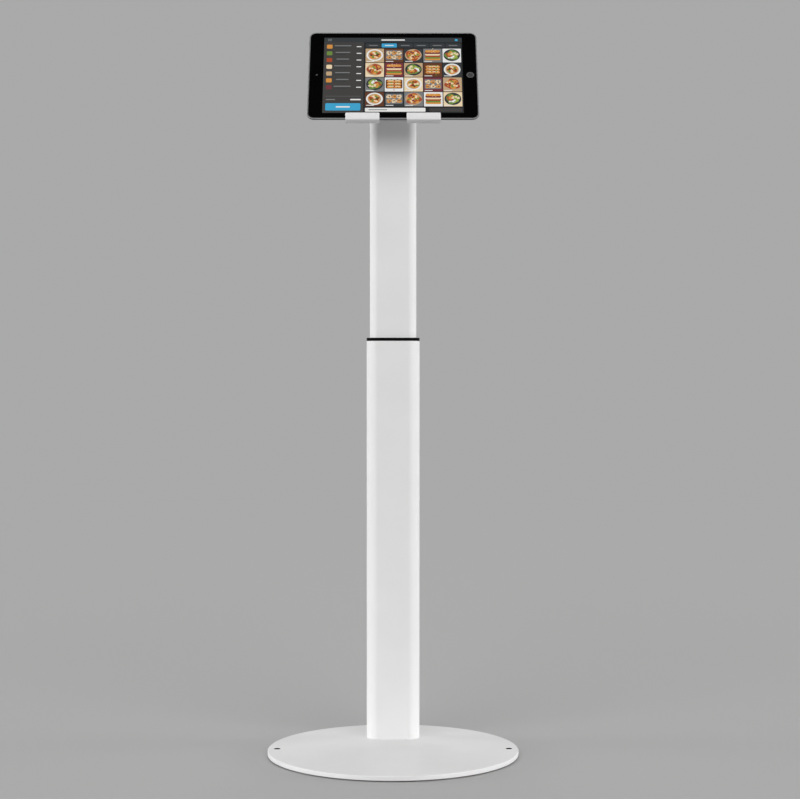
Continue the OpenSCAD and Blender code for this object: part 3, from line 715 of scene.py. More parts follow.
@dataclass
class Base:
    """The round plate on its rubber feet."""

    rim_radius: float = 1.2 * MM
    rim_sides: int = 256
    screw_size: float = 6 * MM
    screw_gap: float = 0.1 * MM
    # The black sleeves in the floor holes are painted shade: their wall's thickness and how far they stand above
    # the plate.
    shade_sleeve_wall: float = 0.12 * MM
    shade_sleeve_proud: float = 0.01 * MM
    foot_count: int = 6
    foot_dish: float = 0.3 * MM
    foot_edges: Sequence[float] = (1 * MM, 0.2 * MM, 0.5 * MM, 0.2 * MM)

    def screw_places(self) -> list[Pair]:
        """Gives the middles of the four column screws, from the box round their heads."""
        across, along = (np.array(FLOOR.span("column_screws", axis)) + (self.screw_size, -self.screw_size)
                         for axis in (0, 1))
        return [(x, y) for x in across for y in along]

    def build_plate(self) -> None:
        """Makes the plate: a disc with a rounded rim, two floor holes and four countersinks below, and a black
        sleeve in each floor hole as painted shade.
        """
        low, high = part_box("base_plate")
        bolts = MOUNTS["floor_bolts"]["dims"]
        reach, radius = bolts["spacing_x_mm"] / 2 * MM, bolts["hole_r_mm"] * MM
        places = [FLOOR.at(-reach, 0, 0), FLOOR.at(reach, 0, 0)]
        head, thread = self.screw_size + self.screw_gap, self.screw_size / 2 + self.screw_gap
        holes = [(circle(radius, centre=place.origin[:2]),) * 2 for place in places]
        holes += [(circle(head, centre=place), circle(thread, centre=place))
                  for place in self.screw_places()]
        plate = Shape().slab(circle(high.x, self.rim_sides), low.z, high.z, self.rim_radius, holes)
        plate.publish("base_plate_coated", FLOOR, WHITE_COAT, "stand", "base_plate")
        # A thin black sleeve covers each floor hole's wall and a hair of the top round it: painted shade for the
        # dark inside of the holes.
        inside, outside, top = radius - self.shade_sleeve_wall, radius + 2 * self.shade_sleeve_wall, high.z + self.shade_sleeve_proud
        section = np.array([[inside, low.z], [outside, low.z], [outside, top], [inside, top]])
        hole_shades = Shape().hoop(turned(section, 64)).copied(places)
        hole_shades.publish("floor_hole_walls", FLOOR, COLLAR_BLACK, "stand")

    def build_feet(self) -> None:
        """Makes the feet: flat rubber buttons, each with a soft edge and a dished underside."""
        ring = -MOUNTS["floor_face"]["pos_m"][1]
        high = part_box("base_feet")[1]
        radius, dish = high.y - ring, self.foot_dish
        profile = round_corners([[0, dish], [radius * 0.55, dish], [radius * 0.62, 0], [radius, 0],
                                 [radius, high.z], [0, high.z]], self.foot_edges, closed=False)
        places = [FLOOR.at(x, y, 0) for x, y in ring * arc(QUARTER + angles(self.foot_count))]
        feet = Shape().lathe(profile, 48).copied(places)
        feet.publish("rubber_feet", FLOOR, RUBBER, "stand", "base_feet")

    def build(self) -> None:
        """Makes the base with its screws, and dresses the block in the column's foot."""
        self.build_plate()
        self.build_feet()
        low, high = FLOOR.span("column_screws", 2)
        places = [FLOOR.at(x, y, low) for x, y in self.screw_places()]
        screws = countersunk(self.screw_size, high - low).copied(places)
        screws.publish("column_screws_socketed", FLOOR, STEEL, "stand", "column_screws")
        dress("foot_block", STEEL)


@dataclass
class Column:
    """The two tubes of the column, with the collar that guides the upper one."""

    outer_radius: float = 17 * MM
    wall: float = 2 * MM
    cut_edge: float = 0.25 * MM
    collar_edge: float = 0.35 * MM
    collar_lead: float = 0.6 * MM
    collar_seat: Pair = (0.15 * MM, 0.1 * MM)
    collar_skirt: float = 60 * MM
    skirt_edge: float = 0.4 * MM
    skirt_inset: float = 2.1 * MM
    guide_inset: float = 4.45 * MM
    corner_steps: int = 20
    screw_size: float = 5 * MM
    screw_gap: float = 0.1 * MM

    def oval(self, node: str) -> Array:
        """Gives the flat-oval outline of one of the tubes, round the column's axis.

        Args:
            node: The tube's solid.

        Returns:
            (n, 2) points, with corners that keep to the outer tube's.
        """
        width, depth = (COLUMN.size(node, axis) for axis in (0, 1))
        inset = (COLUMN.size("outer_tube", 0) - width) / 2
        return rectangle(width, depth, self.outer_radius - inset, self.corner_steps)

    def tube(self, node: str) -> Shape:
        """Makes a tube in the column's frame: its wall's section carried round the oval.

        Args:
            node: The solid that it stands for.

        Returns:
            The tube.
        """
        low, high = COLUMN.span(node, 2)
        corners = [[0, low], [0, high], [self.wall, high], [self.wall, low]]
        return Shape().hoop(carry(self.oval(node), round_corners(corners, self.cut_edge, 3)))

    def build_inner(self) -> None:
        """Makes the upper tube, countersunk at the back for the yoke's screws, and the screws."""
        size, over = self.screw_size, 2 * self.wall
        head, thread = size + self.screw_gap, size / 2 + self.screw_gap
        reach = COLUMN.span("yoke_screws", 0)[1] - size
        front, face = COLUMN.span("yoke_screws", 1)
        height = COLUMN.middle("yoke_screws", 2)
        places = [Basis(np.array([x, face, height]), ACROSS, UP, -BACK) for x in (-reach, reach)]
        sink = Shape().lathe(np.array([[0, -over], [head, -over], [head, 0], [thread, size / 2],
                                       [thread, size], [0, size]]))
        tube = self.tube("inner_tube").less(sink.copied(places))
        tube.publish("inner_tube_coated", COLUMN, WHITE_COAT, "mast", "inner_tube")
        screws = countersunk(size, face - front).copied(places)
        screws.publish("yoke_screws_socketed", COLUMN, STEEL, "mast", "yoke_screws")

    def build_collar(self) -> None:
        """Makes the collar: a flange on the tube's end and a skirt inside, one section round the oval."""
        top, seat = COLUMN.span("collar", 2)[1], COLUMN.span("outer_tube", 2)[1]
        foot, outer, corner = seat - self.collar_skirt, *self.collar_seat
        section = round_corners([[0, seat], [0, top], [self.guide_inset, top], [self.guide_inset, foot],
                                 [self.skirt_inset, foot], [self.skirt_inset, seat]],
                                [outer, self.collar_edge, self.collar_lead, self.skirt_edge,
                                 self.skirt_edge, corner])
        collar = Shape().hoop(carry(self.oval("outer_tube"), section))
        collar.publish("collar_moulded", COLUMN, COLLAR_BLACK, "stand", "collar")

    def build(self) -> None:
        """Makes the tubes and the collar, and dresses the glide."""
        self.tube("outer_tube").publish("outer_tube_coated", COLUMN, WHITE_COAT, "stand", "outer_tube")
        self.build_collar()
        self.build_inner()
        dress("glide_block", DARK_NYLON)
        dress("glide_pins", STEEL)


@dataclass
class HeightLock:
    """The clamp behind the column: boss, pad, threaded stud and lobed knob, along the lock's axis."""

    weld: float = 1.6 * MM
    boss_edges: Sequence[float] = (1.0 * MM, 0.3 * MM, 0.3 * MM, 0.2 * MM, 0.2 * MM)
    play: float = 0.05 * MM
    pad_gap: float = 0.1 * MM
    mouth: float = 0.8 * MM
    pitch: float = 1.25 * MM
    pitch_rows: int = 10
    thread_depth: float = 0.6 * MM
    thread_sides: int = 48
    tip_radius: float = 2.5 * MM
    tip_edges: Pair = (0.5 * MM, 0.1 * MM)
    lobes: int = 7
    lobe_radius: float = 5.5 * MM
    valley_power: int = 22
    lobes_fade: float = 0.62
    hub_radius: float = 10 * MM
    hub_height: float = 7 * MM
    hub_sunk: float = 1 * MM
    hub_edges: Pair = (0.8 * MM, 0.3 * MM)
    dome: float = 3 * MM
    knob_edge: float = 1.8 * MM
    knob_sides: int = 252
    cap_radius: float = 8 * MM
    cap_groove: float = 0.5 * MM

    def build_boss(self) -> None:
        """Makes the boss: a turned ring with a weld fillet, a chamfered mouth and the pad's pocket."""
        low, high = LOCK.span("lock_boss", 2)
        radius = LOCK.size("lock_boss", 0) / 2
        bore = LOCK.size("lock_stud", 0) / 2 + self.play
        pocket = LOCK.size("lock_pad", 0) / 2 + self.pad_gap
        end = LOCK.span("lock_pad", 2)[1] + JOINTS["clamp"]["range_m"][1] + self.pad_gap
        fillet = self.weld * quarter(6) + (radius, low)
        rest = round_corners([[radius, low + self.weld], [radius, high], [bore + self.mouth, high],
                              [bore, high - self.mouth], [bore, end], [pocket, end], [pocket, low]],
                             self.boss_edges, closed=False)
        boss = Shape().hoop(turned(np.concatenate([fillet[:-1], rest]), 72))
        boss.publish("lock_boss_welded", LOCK, WHITE_COAT, "stand", "lock_boss")

    def build_stud(self) -> None:
        """Makes the stud: a rod whose radius follows a zigzag that climbs one pitch with each turn."""
        low, high = LOCK.span("lock_stud", 2)
        radius = LOCK.size("lock_stud", 0) / 2
        shoulder = LOCK.span("lock_pad", 2)[1] + self.play
        rows = int((high - shoulder) / self.pitch * self.pitch_rows)
        height = np.linspace(shoulder, high, rows)[:, None]
        phase = (height / self.pitch - angles(self.thread_sides) / TURN) % 1
        groove = np.clip(1.25 * np.abs(2 * phase - 1) - 0.15, 0, 1)
        run_out = np.clip(1 - np.minimum(height - shoulder, high - height) / self.pitch, 0, 1)
        reach = radius - self.thread_depth * np.maximum(groove, run_out)
        tip = round_corners([[0, low], [self.tip_radius, low], [self.tip_radius, shoulder], [0, shoulder]],
                            self.tip_edges, closed=False)
        stud = Shape().spindle(rings(reach, height), shoulder, high).lathe(tip, 32)
        stud.publish("lock_stud_threaded", LOCK, STEEL, "lock_handle", "lock_stud")

    def lobed(self, reach: float) -> Array:
        """Gives the knob's radius at even angles: the smooth union of a core and a ring of round lobes.

        A lobe reaches c cos d + sqrt(a2 - c2 sin2 d) at the angle d from its middle, and a high
        power mean with the core's radius rounds the valleys.

        Args:
            reach: The radius over the lobes.

        Returns:
            The radii.
        """
        core, step, power = reach - self.lobe_radius, TURN / self.lobes, self.valley_power
        off = (angles(self.knob_sides) + step / 2) % step - step / 2
        under = np.clip(self.lobe_radius ** 2 - (core * np.sin(off)) ** 2, 0, None)
        lobe = np.where(under > 0, core * np.cos(off) + np.sqrt(under), 0)
        return reach * ((core / reach) ** power + (lobe / reach) ** power) ** (1 / power)

    def build_knob(self) -> None:
        """Makes the knob: the lobed outline with round edges, a domed end with a cap's groove, a hub."""
        low, high = LOCK.span("lock_knob", 2)
        reach = LOCK.span("lock_knob", 0)[1]
        grip, fade = low + self.hub_height, self.lobes_fade
        radius, ring = self.lobed(reach), circle(1, self.knob_sides)
        side = carry(radius[:, None] * ring, edge_profile(grip, high - self.dome, self.knob_edge, 6))
        side[len(side) // 2:, :, 2] += self.dome * (1 - (radius / reach) ** 2)
        share = np.concatenate([np.linspace(1, fade, 10), np.linspace(0.6, 0.42, 20),
                                np.linspace(0.38, 0.04, 8)])[:, None]
        lobed = np.clip((share - fade) / (1 - fade), 0, 1)[..., None] ** 2
        core = (reach - self.lobe_radius) * ring
        place = share[..., None] * (core + lobed * (side[-1, :, :2] - core))
        across = np.linalg.norm(place, axis=2)
        groove = self.cap_groove * np.exp(-((across - self.cap_radius) / self.cap_groove) ** 2)
        top = high - self.dome * (across / reach) ** 2 - groove
        top -= (top[0] - side[-1, :, 2]) * share ** 6
        sunk = grip + self.hub_sunk
        hub = round_corners([[0, low], [self.hub_radius, low], [self.hub_radius, sunk], [0, sunk]],
                            self.hub_edges, closed=False)
        knob = Shape().spindle(np.concatenate([side, np.dstack([place, top])[1:]]), grip, high).lathe(hub)
        knob.publish("lock_knob_moulded", LOCK, BLACK_PLASTIC, "lock_handle", "lock_knob")

    def build(self) -> None:
        """Makes the lock and dresses its pad."""
        self.build_boss()
        self.build_stud()
        self.build_knob()
        dress("lock_pad", BRASS)


@dataclass
class TiltHinge:
    """The friction hinge on top of the mast: yoke, bolt, springs, nut and the lug that it turns on."""

    ear_radius: float = 12 * MM
    ear_thickness: float = 6 * MM
    cast_edge: float = 0.9 * MM
    plug_inset: float = 2.1 * MM
    plug_length: float = 45 * MM
    plug_edge: float = 0.3 * MM
    cap_height: float = 5 * MM
    bolt_radius: float = 4 * MM
    bolt_edges: Sequence[float] = (0.8 * MM, 0.2 * MM, 0.2 * MM, 0.7 * MM)
    socket: float = 5.2 * MM
    socket_depth: float = 2.4 * MM
    spring_count: int = 3
    spring_thickness: float = 0.85 * MM
    spring_gap: float = 0.02 * MM
    spring_play: float = 0.1 * MM
    spring_edge: float = 0.2 * MM
    nut_collar: float = 2.2 * MM
    nut_chamfer: float = 0.7 * MM
    nut_edges: Pair = (1.0 * MM, 0.3 * MM)
    nut_sides: int = 96
    lug_width: float = 24 * MM
    arm_height: float = 18 * MM
    root_radius: float = 3 * MM
    flange_thickness: float = 4 * MM
    flange_radius: float = 6 * MM
    play: float = 0.05 * MM

    @property
    def ear_end(self) -> float:
        """How far out the ears reach: one play short of the disc springs."""
        return HINGE.span("disc_springs", 2)[0] - self.play

    def bore(self) -> list[tuple[Array, Array]]:
        """Gives the bolt's hole, as its outline on both faces of a slab."""
        return [(circle(self.bolt_radius + self.play, 32),) * 2]

    def build_yoke(self) -> None:
        """Makes the yoke: a cap that closes the mast, a plug inside it, and two round-topped ears."""
        cap = COLUMN.span("inner_tube", 2)[1]
        top = cap + self.cap_height
        oval = Column().oval("inner_tube")
        plug = oval - self.plug_inset * outward(oval)
        head = Shape().slab(oval, cap, top, self.cast_edge)
        head.slab(plug, cap - self.plug_length, cap + self.cast_edge, self.plug_edge)
        foot = top - self.cast_edge - PIVOT[2]
        outline = np.concatenate([[[-self.ear_radius, foot], [self.ear_radius, foot]],
                                  self.ear_radius * arc(np.linspace(0, math.pi, 33))])
        ears = Shape()
        for low in (-self.ear_end, self.ear_end - self.ear_thickness):
            ears.slab(outline, low, low + self.ear_thickness, self.cast_edge, self.bore())
        yoke = Shape().join(head, COLUMN).join(ears, HINGE)
        yoke.publish("head_yoke_cast", FLOOR, WHITE_CAST, "mast", "head_yoke")

    def build_bolt(self) -> None:
        """Makes the bolt: a turned head with a hexagon socket, and a plain shank with a chamfered end."""
        head, tail = HINGE.span("hinge_bolt", 2)
        under, length = -self.ear_end - self.play - head, tail - head
        radius, shank = HINGE.size("hinge_bolt", 0) / 2, self.bolt_radius
        profile = round_corners([[radius * 0.6, 0], [radius, 0], [radius, under], [shank, under],
                                 [shank, length], [0, length]], self.bolt_edges, closed=False)
        bolt = socket_screw(profile, self.socket, self.socket_depth)
        bolt.publish("hinge_bolt_turned", HINGE.at(0, 0, head), STEEL, "mast", "hinge_bolt")

    def build_springs(self) -> None:
        """Makes the disc springs: coned rings, turned about in pairs, in the space of the flat stack."""
        low, high = HINGE.span("disc_springs", 2)
        radius, bore = HINGE.size("disc_springs", 0) / 2, self.bolt_radius + self.spring_play
        thin = self.spring_thickness
        room = (high - low) / self.spring_count
        cone = room - thin - self.spring_gap
        springs = Shape()
        for index in range(self.spring_count):
            foot = low + index * room
            inner, outer = (foot + cone, foot) if index % 2 else (foot, foot + cone)
            corners = [[bore, inner], [radius, outer], [radius, outer + thin], [bore, inner + thin]]
            springs.hoop(turned(round_corners(corners, self.spring_edge, 3), 64))
        springs.publish("disc_springs_coned", HINGE, DARK_STEEL, "mast", "disc_springs")

    def build_nut(self) -> None:
        """Makes the nut: a hexagon cut back by a cone at both ends, with a round collar for its ring."""
        low, high = HINGE.span("hinge_nut", 2)
        across = min(HINGE.size("hinge_nut", axis) for axis in (0, 1))
        bore, shoulder, waist = self.bolt_radius + self.play, high - self.nut_collar, across * 0.44
        height = np.array([[low], [low + self.nut_chamfer], [shoulder - self.nut_chamfer], [shoulder]])
        limit = across / 2 * np.array([[0.97], [1.16], [1.16], [0.97]])
        wall = rings(np.minimum(hexagon(across, self.nut_sides), limit), height)
        collar = round_corners([[waist, shoulder], [waist, high], [bore, high], [bore, low]],
                               self.nut_edges, closed=False)
        nut = Shape().hoop(np.concatenate([wall, turned(collar, self.nut_sides)]))
        nut.publish("hinge_nut_locking", HINGE, STEEL, "mast", "hinge_nut")

    def build_lug(self) -> None:
        """Makes the lug: a keyhole section across the hinge, and the square flange behind the cradle."""
        high = HEAD.span("tilt_lug", 2)[1]
        back = high - self.flange_thickness
        square = HEAD.size("tilt_lug", 0)
        half = self.arm_height / 2
        start = math.acos(half / self.ear_radius)
        eye = self.ear_radius * arc(np.linspace(math.pi - start, TURN + start, 41))
        foot = (half, back) + self.root_radius * quarter(5)[:, ::-1] * (1, -1)
        side = np.concatenate([foot, foot[-1:] + (0, 3 * self.cast_edge)])
        outline = np.concatenate([eye, side, side[::-1] * (-1, 1)])
        arm = Shape().slab(outline, -self.lug_width / 2, self.lug_width / 2, self.cast_edge, self.bore())
        flange = Shape().slab(rectangle(square, square, self.flange_radius), back, high, self.cast_edge)
        lug = Shape().join(arm, LUG).join(flange, HEAD)
        lug.publish("tilt_lug_cast", FLOOR, WHITE_CAST, "cradle", "tilt_lug")

    def build(self) -> None:
        """Makes the hinge and dresses its washers."""
        self.build_yoke()
        self.build_bolt()
        self.build_springs()
        self.build_nut()
        self.build_lug()
        dress("friction_washers", DARK_NYLON)


@dataclass
class Cradle:
    """The cradle: one sheet of steel, cut flat with two tongues and bent up into two hooks."""

    sheet: float = 1.5 * MM
    bend_radius: float = 1 * MM
    bend_cuts: int = 9
    top_radius: float = 8 * MM
    lip_radius: float = 1.6 * MM
    notch_radius: float = 1.2 * MM
    hook_width: float = 47.3 * MM
    lip_height: float = 12.3 * MM
    notch_height: float = 5.4 * MM
    edge: float = 0.3 * MM
    screw_size: float = 4 * MM
    screw_gap: float = 0.1 * MM

    @property
    def middle_radius(self) -> float:
        """The bend radius at the middle of the sheet."""
        return self.bend_radius + self.sheet / 2

    def lengths(self) -> Array:
        """Measures the sheet's middle line: how far down it each straight and each bend ends.

        Returns:
            Lengths from the top edge: panel, first bend, shelf, second bend, lip.
        """
        turn = self.middle_radius + self.sheet / 2
        bend = self.middle_radius * QUARTER
        return np.cumsum([HEAD.size("cradle_plate", 1) - turn, bend, HEAD.size("cradle_plate", 2) - 2 * turn,
                          bend, self.lip_height - turn])

    def bend(self, flat: Array) -> Array:
        """Bends the flat sheet.

        A point at the length s down the sheet goes to the middle line's place at s, plus its height
        off the sheet along the line's normal, which turns a quarter round in each bend.

        Args:
            flat: (n, 3) points across, minus the length down the sheet, and off its middle.

        Returns:
            (n, 3) points in the head's frame.
        """
        panel, first, shelf, second, _ = self.lengths()
        top, back = HEAD.span("cradle_plate", 1)[1], HEAD.span("cradle_plate", 2)[0]
        radius = self.middle_radius
        across, down, off = flat[:, 0], -flat[:, 1], flat[:, 2]
        one = np.clip((down - panel) / radius, 0, QUARTER)
        two = np.clip((down - shelf) / radius, 0, QUARTER)
        forward = back + self.sheet / 2 + radius * (1 - np.cos(one) + np.sin(two))
        forward += np.clip(down - first, 0, shelf - first)
        height = top - np.clip(down, 0, panel) + radius * (1 - np.cos(two) - np.sin(one))
        height += np.clip(down - second, 0, None)
        lean = one + two
        return np.stack([across, height + off * np.sin(lean), forward + off * np.cos(lean)], axis=1)

    def blank(self) -> Array:
        """Gives the outline of the flat sheet: a panel with round top corners and two tongues.

        Returns:
            (n, 2) points, across and up from the middle of the top edge.
        """
        width = HEAD.span("cradle_plate", 0)[1]
        inner = width - self.hook_width
        notch, end = self.notch_height - HEAD.size("cradle_plate", 1), -self.lengths()[-1]
        right = [[inner, notch], [inner, end], [width, end], [width, 0]]
        left = [[-x, y] for x, y in right[::-1]]
        radii = [self.notch_radius, self.lip_radius, self.lip_radius, self.top_radius]
        return round_corners(right + left, radii + radii[::-1], 6)

    def screw_places(self) -> list[Pair]:
        """Gives the middles of the four screws, from the box round their heads."""
        reach = HEAD.span("cradle_screws", 0)[1] - self.screw_size
        return [(x, y) for x in (-reach, reach) for y in (-reach, reach)]

    def build_sheet(self) -> None:
        """Makes the bent sheet, with countersunk holes for its four screws."""
        top, wide = HEAD.span("cradle_plate", 1)[1], self.screw_size + self.screw_gap
        holes = [tuple(circle(radius, 40, (x, y - top)) for radius in (wide - self.sheet, wide))
                 for x, y in self.screw_places()]
        flat = Shape().slab(self.blank(), -self.sheet / 2, self.sheet / 2, self.edge, holes)
        panel, first, shelf, second, _ = self.lengths()
        bent = flat.cut_across(-np.concatenate([np.linspace(panel, first, self.bend_cuts),
                                                np.linspace(shelf, second, self.bend_cuts)]))
        bent.points = [self.bend(np.concatenate(bent.points))]
        bent.publish("cradle_sheet_bent", HEAD, WHITE_COAT, "cradle", "cradle_plate")

    def build(self) -> None:
        """Makes the sheet and its screws, and dresses its rubbers."""
        self.build_sheet()
        tail, face = HEAD.span("cradle_screws", 2)
        places = [Basis(HEAD.at(x, y, face).origin, HEAD.y, HEAD.x, -HEAD.z) for x, y in self.screw_places()]
        screws = countersunk(self.screw_size, face - tail).copied(places)
        screws.publish("cradle_screws_socketed", FLOOR, STEEL, "cradle", "cradle_screws")
        dress("hook_liners", RUBBER)
        dress("grip_pads", RUBBER)


@dataclass
class Tablet:
    """The tablet: a metal shell with a round back edge, a black cover glass, cameras and buttons."""

    shell_radius: float = 10 * MM
    back_curve: float = 9 * MM
    band: float = 1.7 * MM
    rim: float = 1.8 * MM
    rim_step: float = 0.25 * MM
    rim_seat: float = 0.65 * MM
    rim_edges: Sequence[float] = (0.01 * MM, 0.3 * MM, 0.15 * MM, 0.01 * MM)
    glass_thickness: float = 0.8 * MM
    glass_edge: float = 0.3 * MM
    gap: float = 0.1 * MM
    camera_well: float = 1 * MM
    home_ring: float = 0.68
    home_edges: Sequence[float] = (0.1 * MM, 0.1 * MM, 0.25 * MM, 0.2 * MM)
    home_dish: Pair = (0.22 * MM, 0.14 * MM)
    window_bow: float = 0.1 * MM
    window_step: float = 0.16 * MM
    key_proud: float = 0.4 * MM
    key_root: float = 3.1 * MM
    key_height: float = 1.5 * MM
    key_edge: float = 0.25 * MM
    key_short: float = 0.3 * MM
    seat_margin: Pair = (0.45 * MM, 0.4 * MM)
    seat_depth: float = 0.3 * MM
    seat_proud: float = 0.015 * MM
    seat_edge: float = 0.01 * MM
    port_height: float = 2.9 * MM
    port_size: Pair = (8.6 * MM, 1.9 * MM)
    patch_depth: float = 0.6 * MM
    patch_proud: float = 0.01 * MM
    patch_edge: float = 0.005 * MM
    speaker_hole: float = 0.6 * MM
    speaker_span: Pair = (34 * MM, 52 * MM)
    speaker_count: int = 10

    @property
    def width(self) -> float:
        """The tablet's width."""
        return TABLET.size("tablet_shell", 0)

    @property
    def height(self) -> float:
        """The tablet's height."""
        return TABLET.size("tablet_shell", 1)

    @property
    def back(self) -> float:
        """The local height of the shell's back, behind the glass face."""
        return TABLET.span("tablet_shell", 2)[0]

    @property
    def belly(self) -> float:
        """How deep the shell's round back edge is."""
        return -self.back - self.band

    def outline(self) -> Array:
        """Gives the tablet's outline."""
        return rectangle(self.width, self.height, self.shell_radius, 14)

    def build_rim(self) -> None:
        """Makes the rim round the glass, lighter than the shell as painted light: a small section carried round
        the tablet.
        """
        inside, seat, top = self.rim - self.gap, -self.rim_seat, -self.rim_step
        section = round_corners([[0, seat], [0, top], [inside, top], [inside, seat]], self.rim_edges)
        rim = Shape().hoop(carry(self.outline(), section))
        rim.publish("tablet_rim", TABLET, LIT_RIM, "tablet")

    def build_shell(self) -> None:
        """Makes the shell: a section with a quarter ellipse at the back, carried round the tablet."""
        inside, seat, floor = self.rim - self.gap, -self.rim_seat, -self.glass_thickness - self.gap
        curve = quarter(10) * (self.back_curve, self.belly) + (0, self.back)
        section = np.concatenate([curve, [[0, seat], [inside, seat], [inside, floor]]])
        shell = Shape()
        ids = shell.add(carry(self.outline(), section))
        shell.skin(ids)
        centre = tuple(TABLET.middle("rear_camera", axis) for axis in (0, 1))
        eye = circle(TABLET.size("rear_camera", 0) / 2 + self.gap, 48, centre)
        well = shell.add(np.stack([raised(eye, self.back), raised(eye, self.back + self.camera_well)]))
        shell.skin(well)
        shell.fill(ids[0], well[0])
        shell.fill(well[1])
        shell.fill(ids[-1])
        # The shell's metal is darkened below its own grey, as painted shade.
        shell.publish("tablet_shell_anodised", TABLET, SHADED_ALUMINIUM, "tablet", "tablet_shell")

    def build_glass(self) -> None:
        """Makes the cover glass: a thin slab with soft edges, and openings for button and camera."""
        width, height = (TABLET.size("tablet_glass", axis) for axis in (0, 1))
        outline = rectangle(width, height, self.shell_radius - self.rim, 12)
        holes = [(circle(TABLET.size(node, 0) / 2 + self.gap, 48, (TABLET.middle(node, 0), 0)),) * 2
                 for node in ("home_button", "front_camera")]
        glass = Shape().slab(outline, -self.glass_thickness, 0, self.glass_edge, holes)
        glass.publish("cover_glass", TABLET, BLACK_GLASS, "tablet", "tablet_glass")

    def build_home(self) -> None:
        """Makes the home button: a dished disc, in a satin ring."""
        bottom, top = TABLET.span("home_button", 2)
        radius, place = TABLET.size("home_button", 0) / 2, TABLET.at(TABLET.middle("home_button", 0), 0, 0)
        inner, (sunk, dish) = self.home_ring * radius, self.home_dish
        corners = [[inner, bottom], [radius, bottom], [radius, top], [inner, top]]
        ring = Shape().hoop(turned(round_corners(corners, self.home_edges), 96))
        ring.publish("home_button_ring", place, KEY_RING, "home_key", "home_button")
        bow = np.linspace(1, 0, 9)
        face = np.stack([inner * bow, top - sunk + dish * bow ** 2], axis=1)
        disc = Shape().lathe(np.concatenate([[[0, bottom], [inner, bottom]], face]), 96)
        disc.publish("home_button_dish", place, KEY_PLASTIC, "home_key")

    def build_cameras(self) -> None:
        """Makes the two camera windows: low domes of dark glass, each with a step round it."""
        for node, out, finish in (("front_camera", 1, FRONT_LENS), ("rear_camera", -1, LENS)):
            radius, depth = TABLET.size(node, 0) / 2, TABLET.span(node, 2)
            place = TABLET.at(TABLET.middle(node, 0), TABLET.middle(node, 1), 0)
            root, face = depth[::out]
            step = face - out * self.window_step
            bow = np.linspace(0, 1, 7)
            dome = np.stack([radius * 0.8 * bow, face - out * self.window_bow * bow ** 2], axis=1)
            wall = [[radius * 0.86, step], [radius, step], [radius, root], [0, root]]
            window = Shape().lathe(np.concatenate([dome, wall]))
            window.publish(node + "_window", place, finish, "tablet", node)

    def build_keys(self) -> None:
        """Makes the three side buttons: rounded bars that stand proud of the shell's edge, in dark seats."""
        for node in ("volume_up_button", "volume_down_button", "power_button"):
            on_top = node != "power_button"
            x, y, z = (TABLET.middle(node, axis) for axis in range(3))
            if on_top:
                basis = Basis(TABLET.at(x, self.height / 2, z).origin, TABLET.x, -TABLET.z, TABLET.y)
            else:
                basis = Basis(TABLET.at(-self.width / 2, y, z).origin, TABLET.y, TABLET.z, -TABLET.x)
            length = TABLET.size(node, 0 if on_top else 1) - self.key_short
            bar = Shape().slab(pill(length, self.key_height), -self.key_root, self.key_proud, self.key_edge)
            # The key bars share the shell's darkened metal, painted shade.
            bar.publish(node + "_bar", basis, SHADED_ALUMINIUM, node.replace("_button", "_key"), node)
            along, across = self.seat_margin
            outline = pill(length + along, self.key_height + across)
            seat = Shape().slab(outline, -self.seat_depth, self.seat_proud, self.seat_edge)
            seat.publish(node + "_seat", basis, BLACK_PLASTIC, "tablet")

    def build_port(self) -> None:
        """Makes the charging port and the two rows of speaker holes in the edge beside the home button.

        They lie flat on the quarter ellipse, at a slope of its axes' ratio times s / sqrt(1 - s2)
        for the share s of its depth.
        """
        depth = self.back + self.port_height
        share = (-self.band - depth) / self.belly
        rest = math.sqrt(1 - share ** 2)
        slope = self.back_curve / self.belly * share / rest
        edge = TABLET.at(self.width / 2 - self.back_curve * (1 - rest), 0, depth)
        basis = Basis(edge.origin, TABLET.y, unit(slope * TABLET.x + TABLET.z),
                      unit(TABLET.x - slope * TABLET.z))
        places = np.linspace(*self.speaker_span, self.speaker_count)
        outlines = [pill(*self.port_size, 40)]
        outlines += [circle(self.speaker_hole, 20, (place, 0)) for place in (*-places[::-1], *places)]
        port = Shape()
        for outline in outlines:
            port.slab(outline, -self.patch_depth, self.patch_proud, self.patch_edge)
        port.publish("port_and_speaker_holes", basis, BLACK_PLASTIC, "tablet")

    def build(self) -> None:
        """Makes the tablet's outside and dresses what is inside it."""
        self.build_rim()
        self.build_shell()
        self.build_glass()
        self.build_home()
        self.build_cameras()
        self.build_keys()
        self.build_port()
        dress("tablet_display", PANEL_BLACK)
        dress("tablet_battery", BATTERY_FOIL)
        dress("tablet_board", BOARD_GREEN)


class Ink(Enum):
    """The colours of the picture on the screen, as a screen gives them, 0 to 255."""

    GROUND = (38, 39, 40)
    BAR = (53, 57, 59)
    PANEL = (64, 63, 62)
    LINE = (120, 121, 122)
    PALE = (226, 226, 224)
    BLUE = (62, 158, 200)
    CREAM = (228, 206, 170)
    AMBER = (206, 140, 66)
    RUST = (160, 72, 44)
    BROWN = (96, 58, 38)
    LEAF = (104, 132, 62)
    LIME = (156, 170, 74)
    SAND = (186, 158, 124)
    PLUM = (112, 52, 60)

    def finish(self) -> Finish:
        """Gives the lit ink: a dark gloss that glows at ((part + 0.055) / 1.055) to the power of 2.4."""
        glow = ((np.array(self.value) / 255 + 0.055) / 1.055) ** 2.4
        return Finish("lit " + self.name.lower(), "display", (0.004,) * 3, (0.008,) * 3, (0.05, 0.1),
                      3 * MM, 0.0003 * MM, glow=tuple(glow.tolist()))


class Motif(Enum):
    """The simple dishes on the tiles."""

    PLATE = 0
    BOARD = 1
    BOWL = 2
    STACK = 3
    PIE = 4
    TRAY = 5


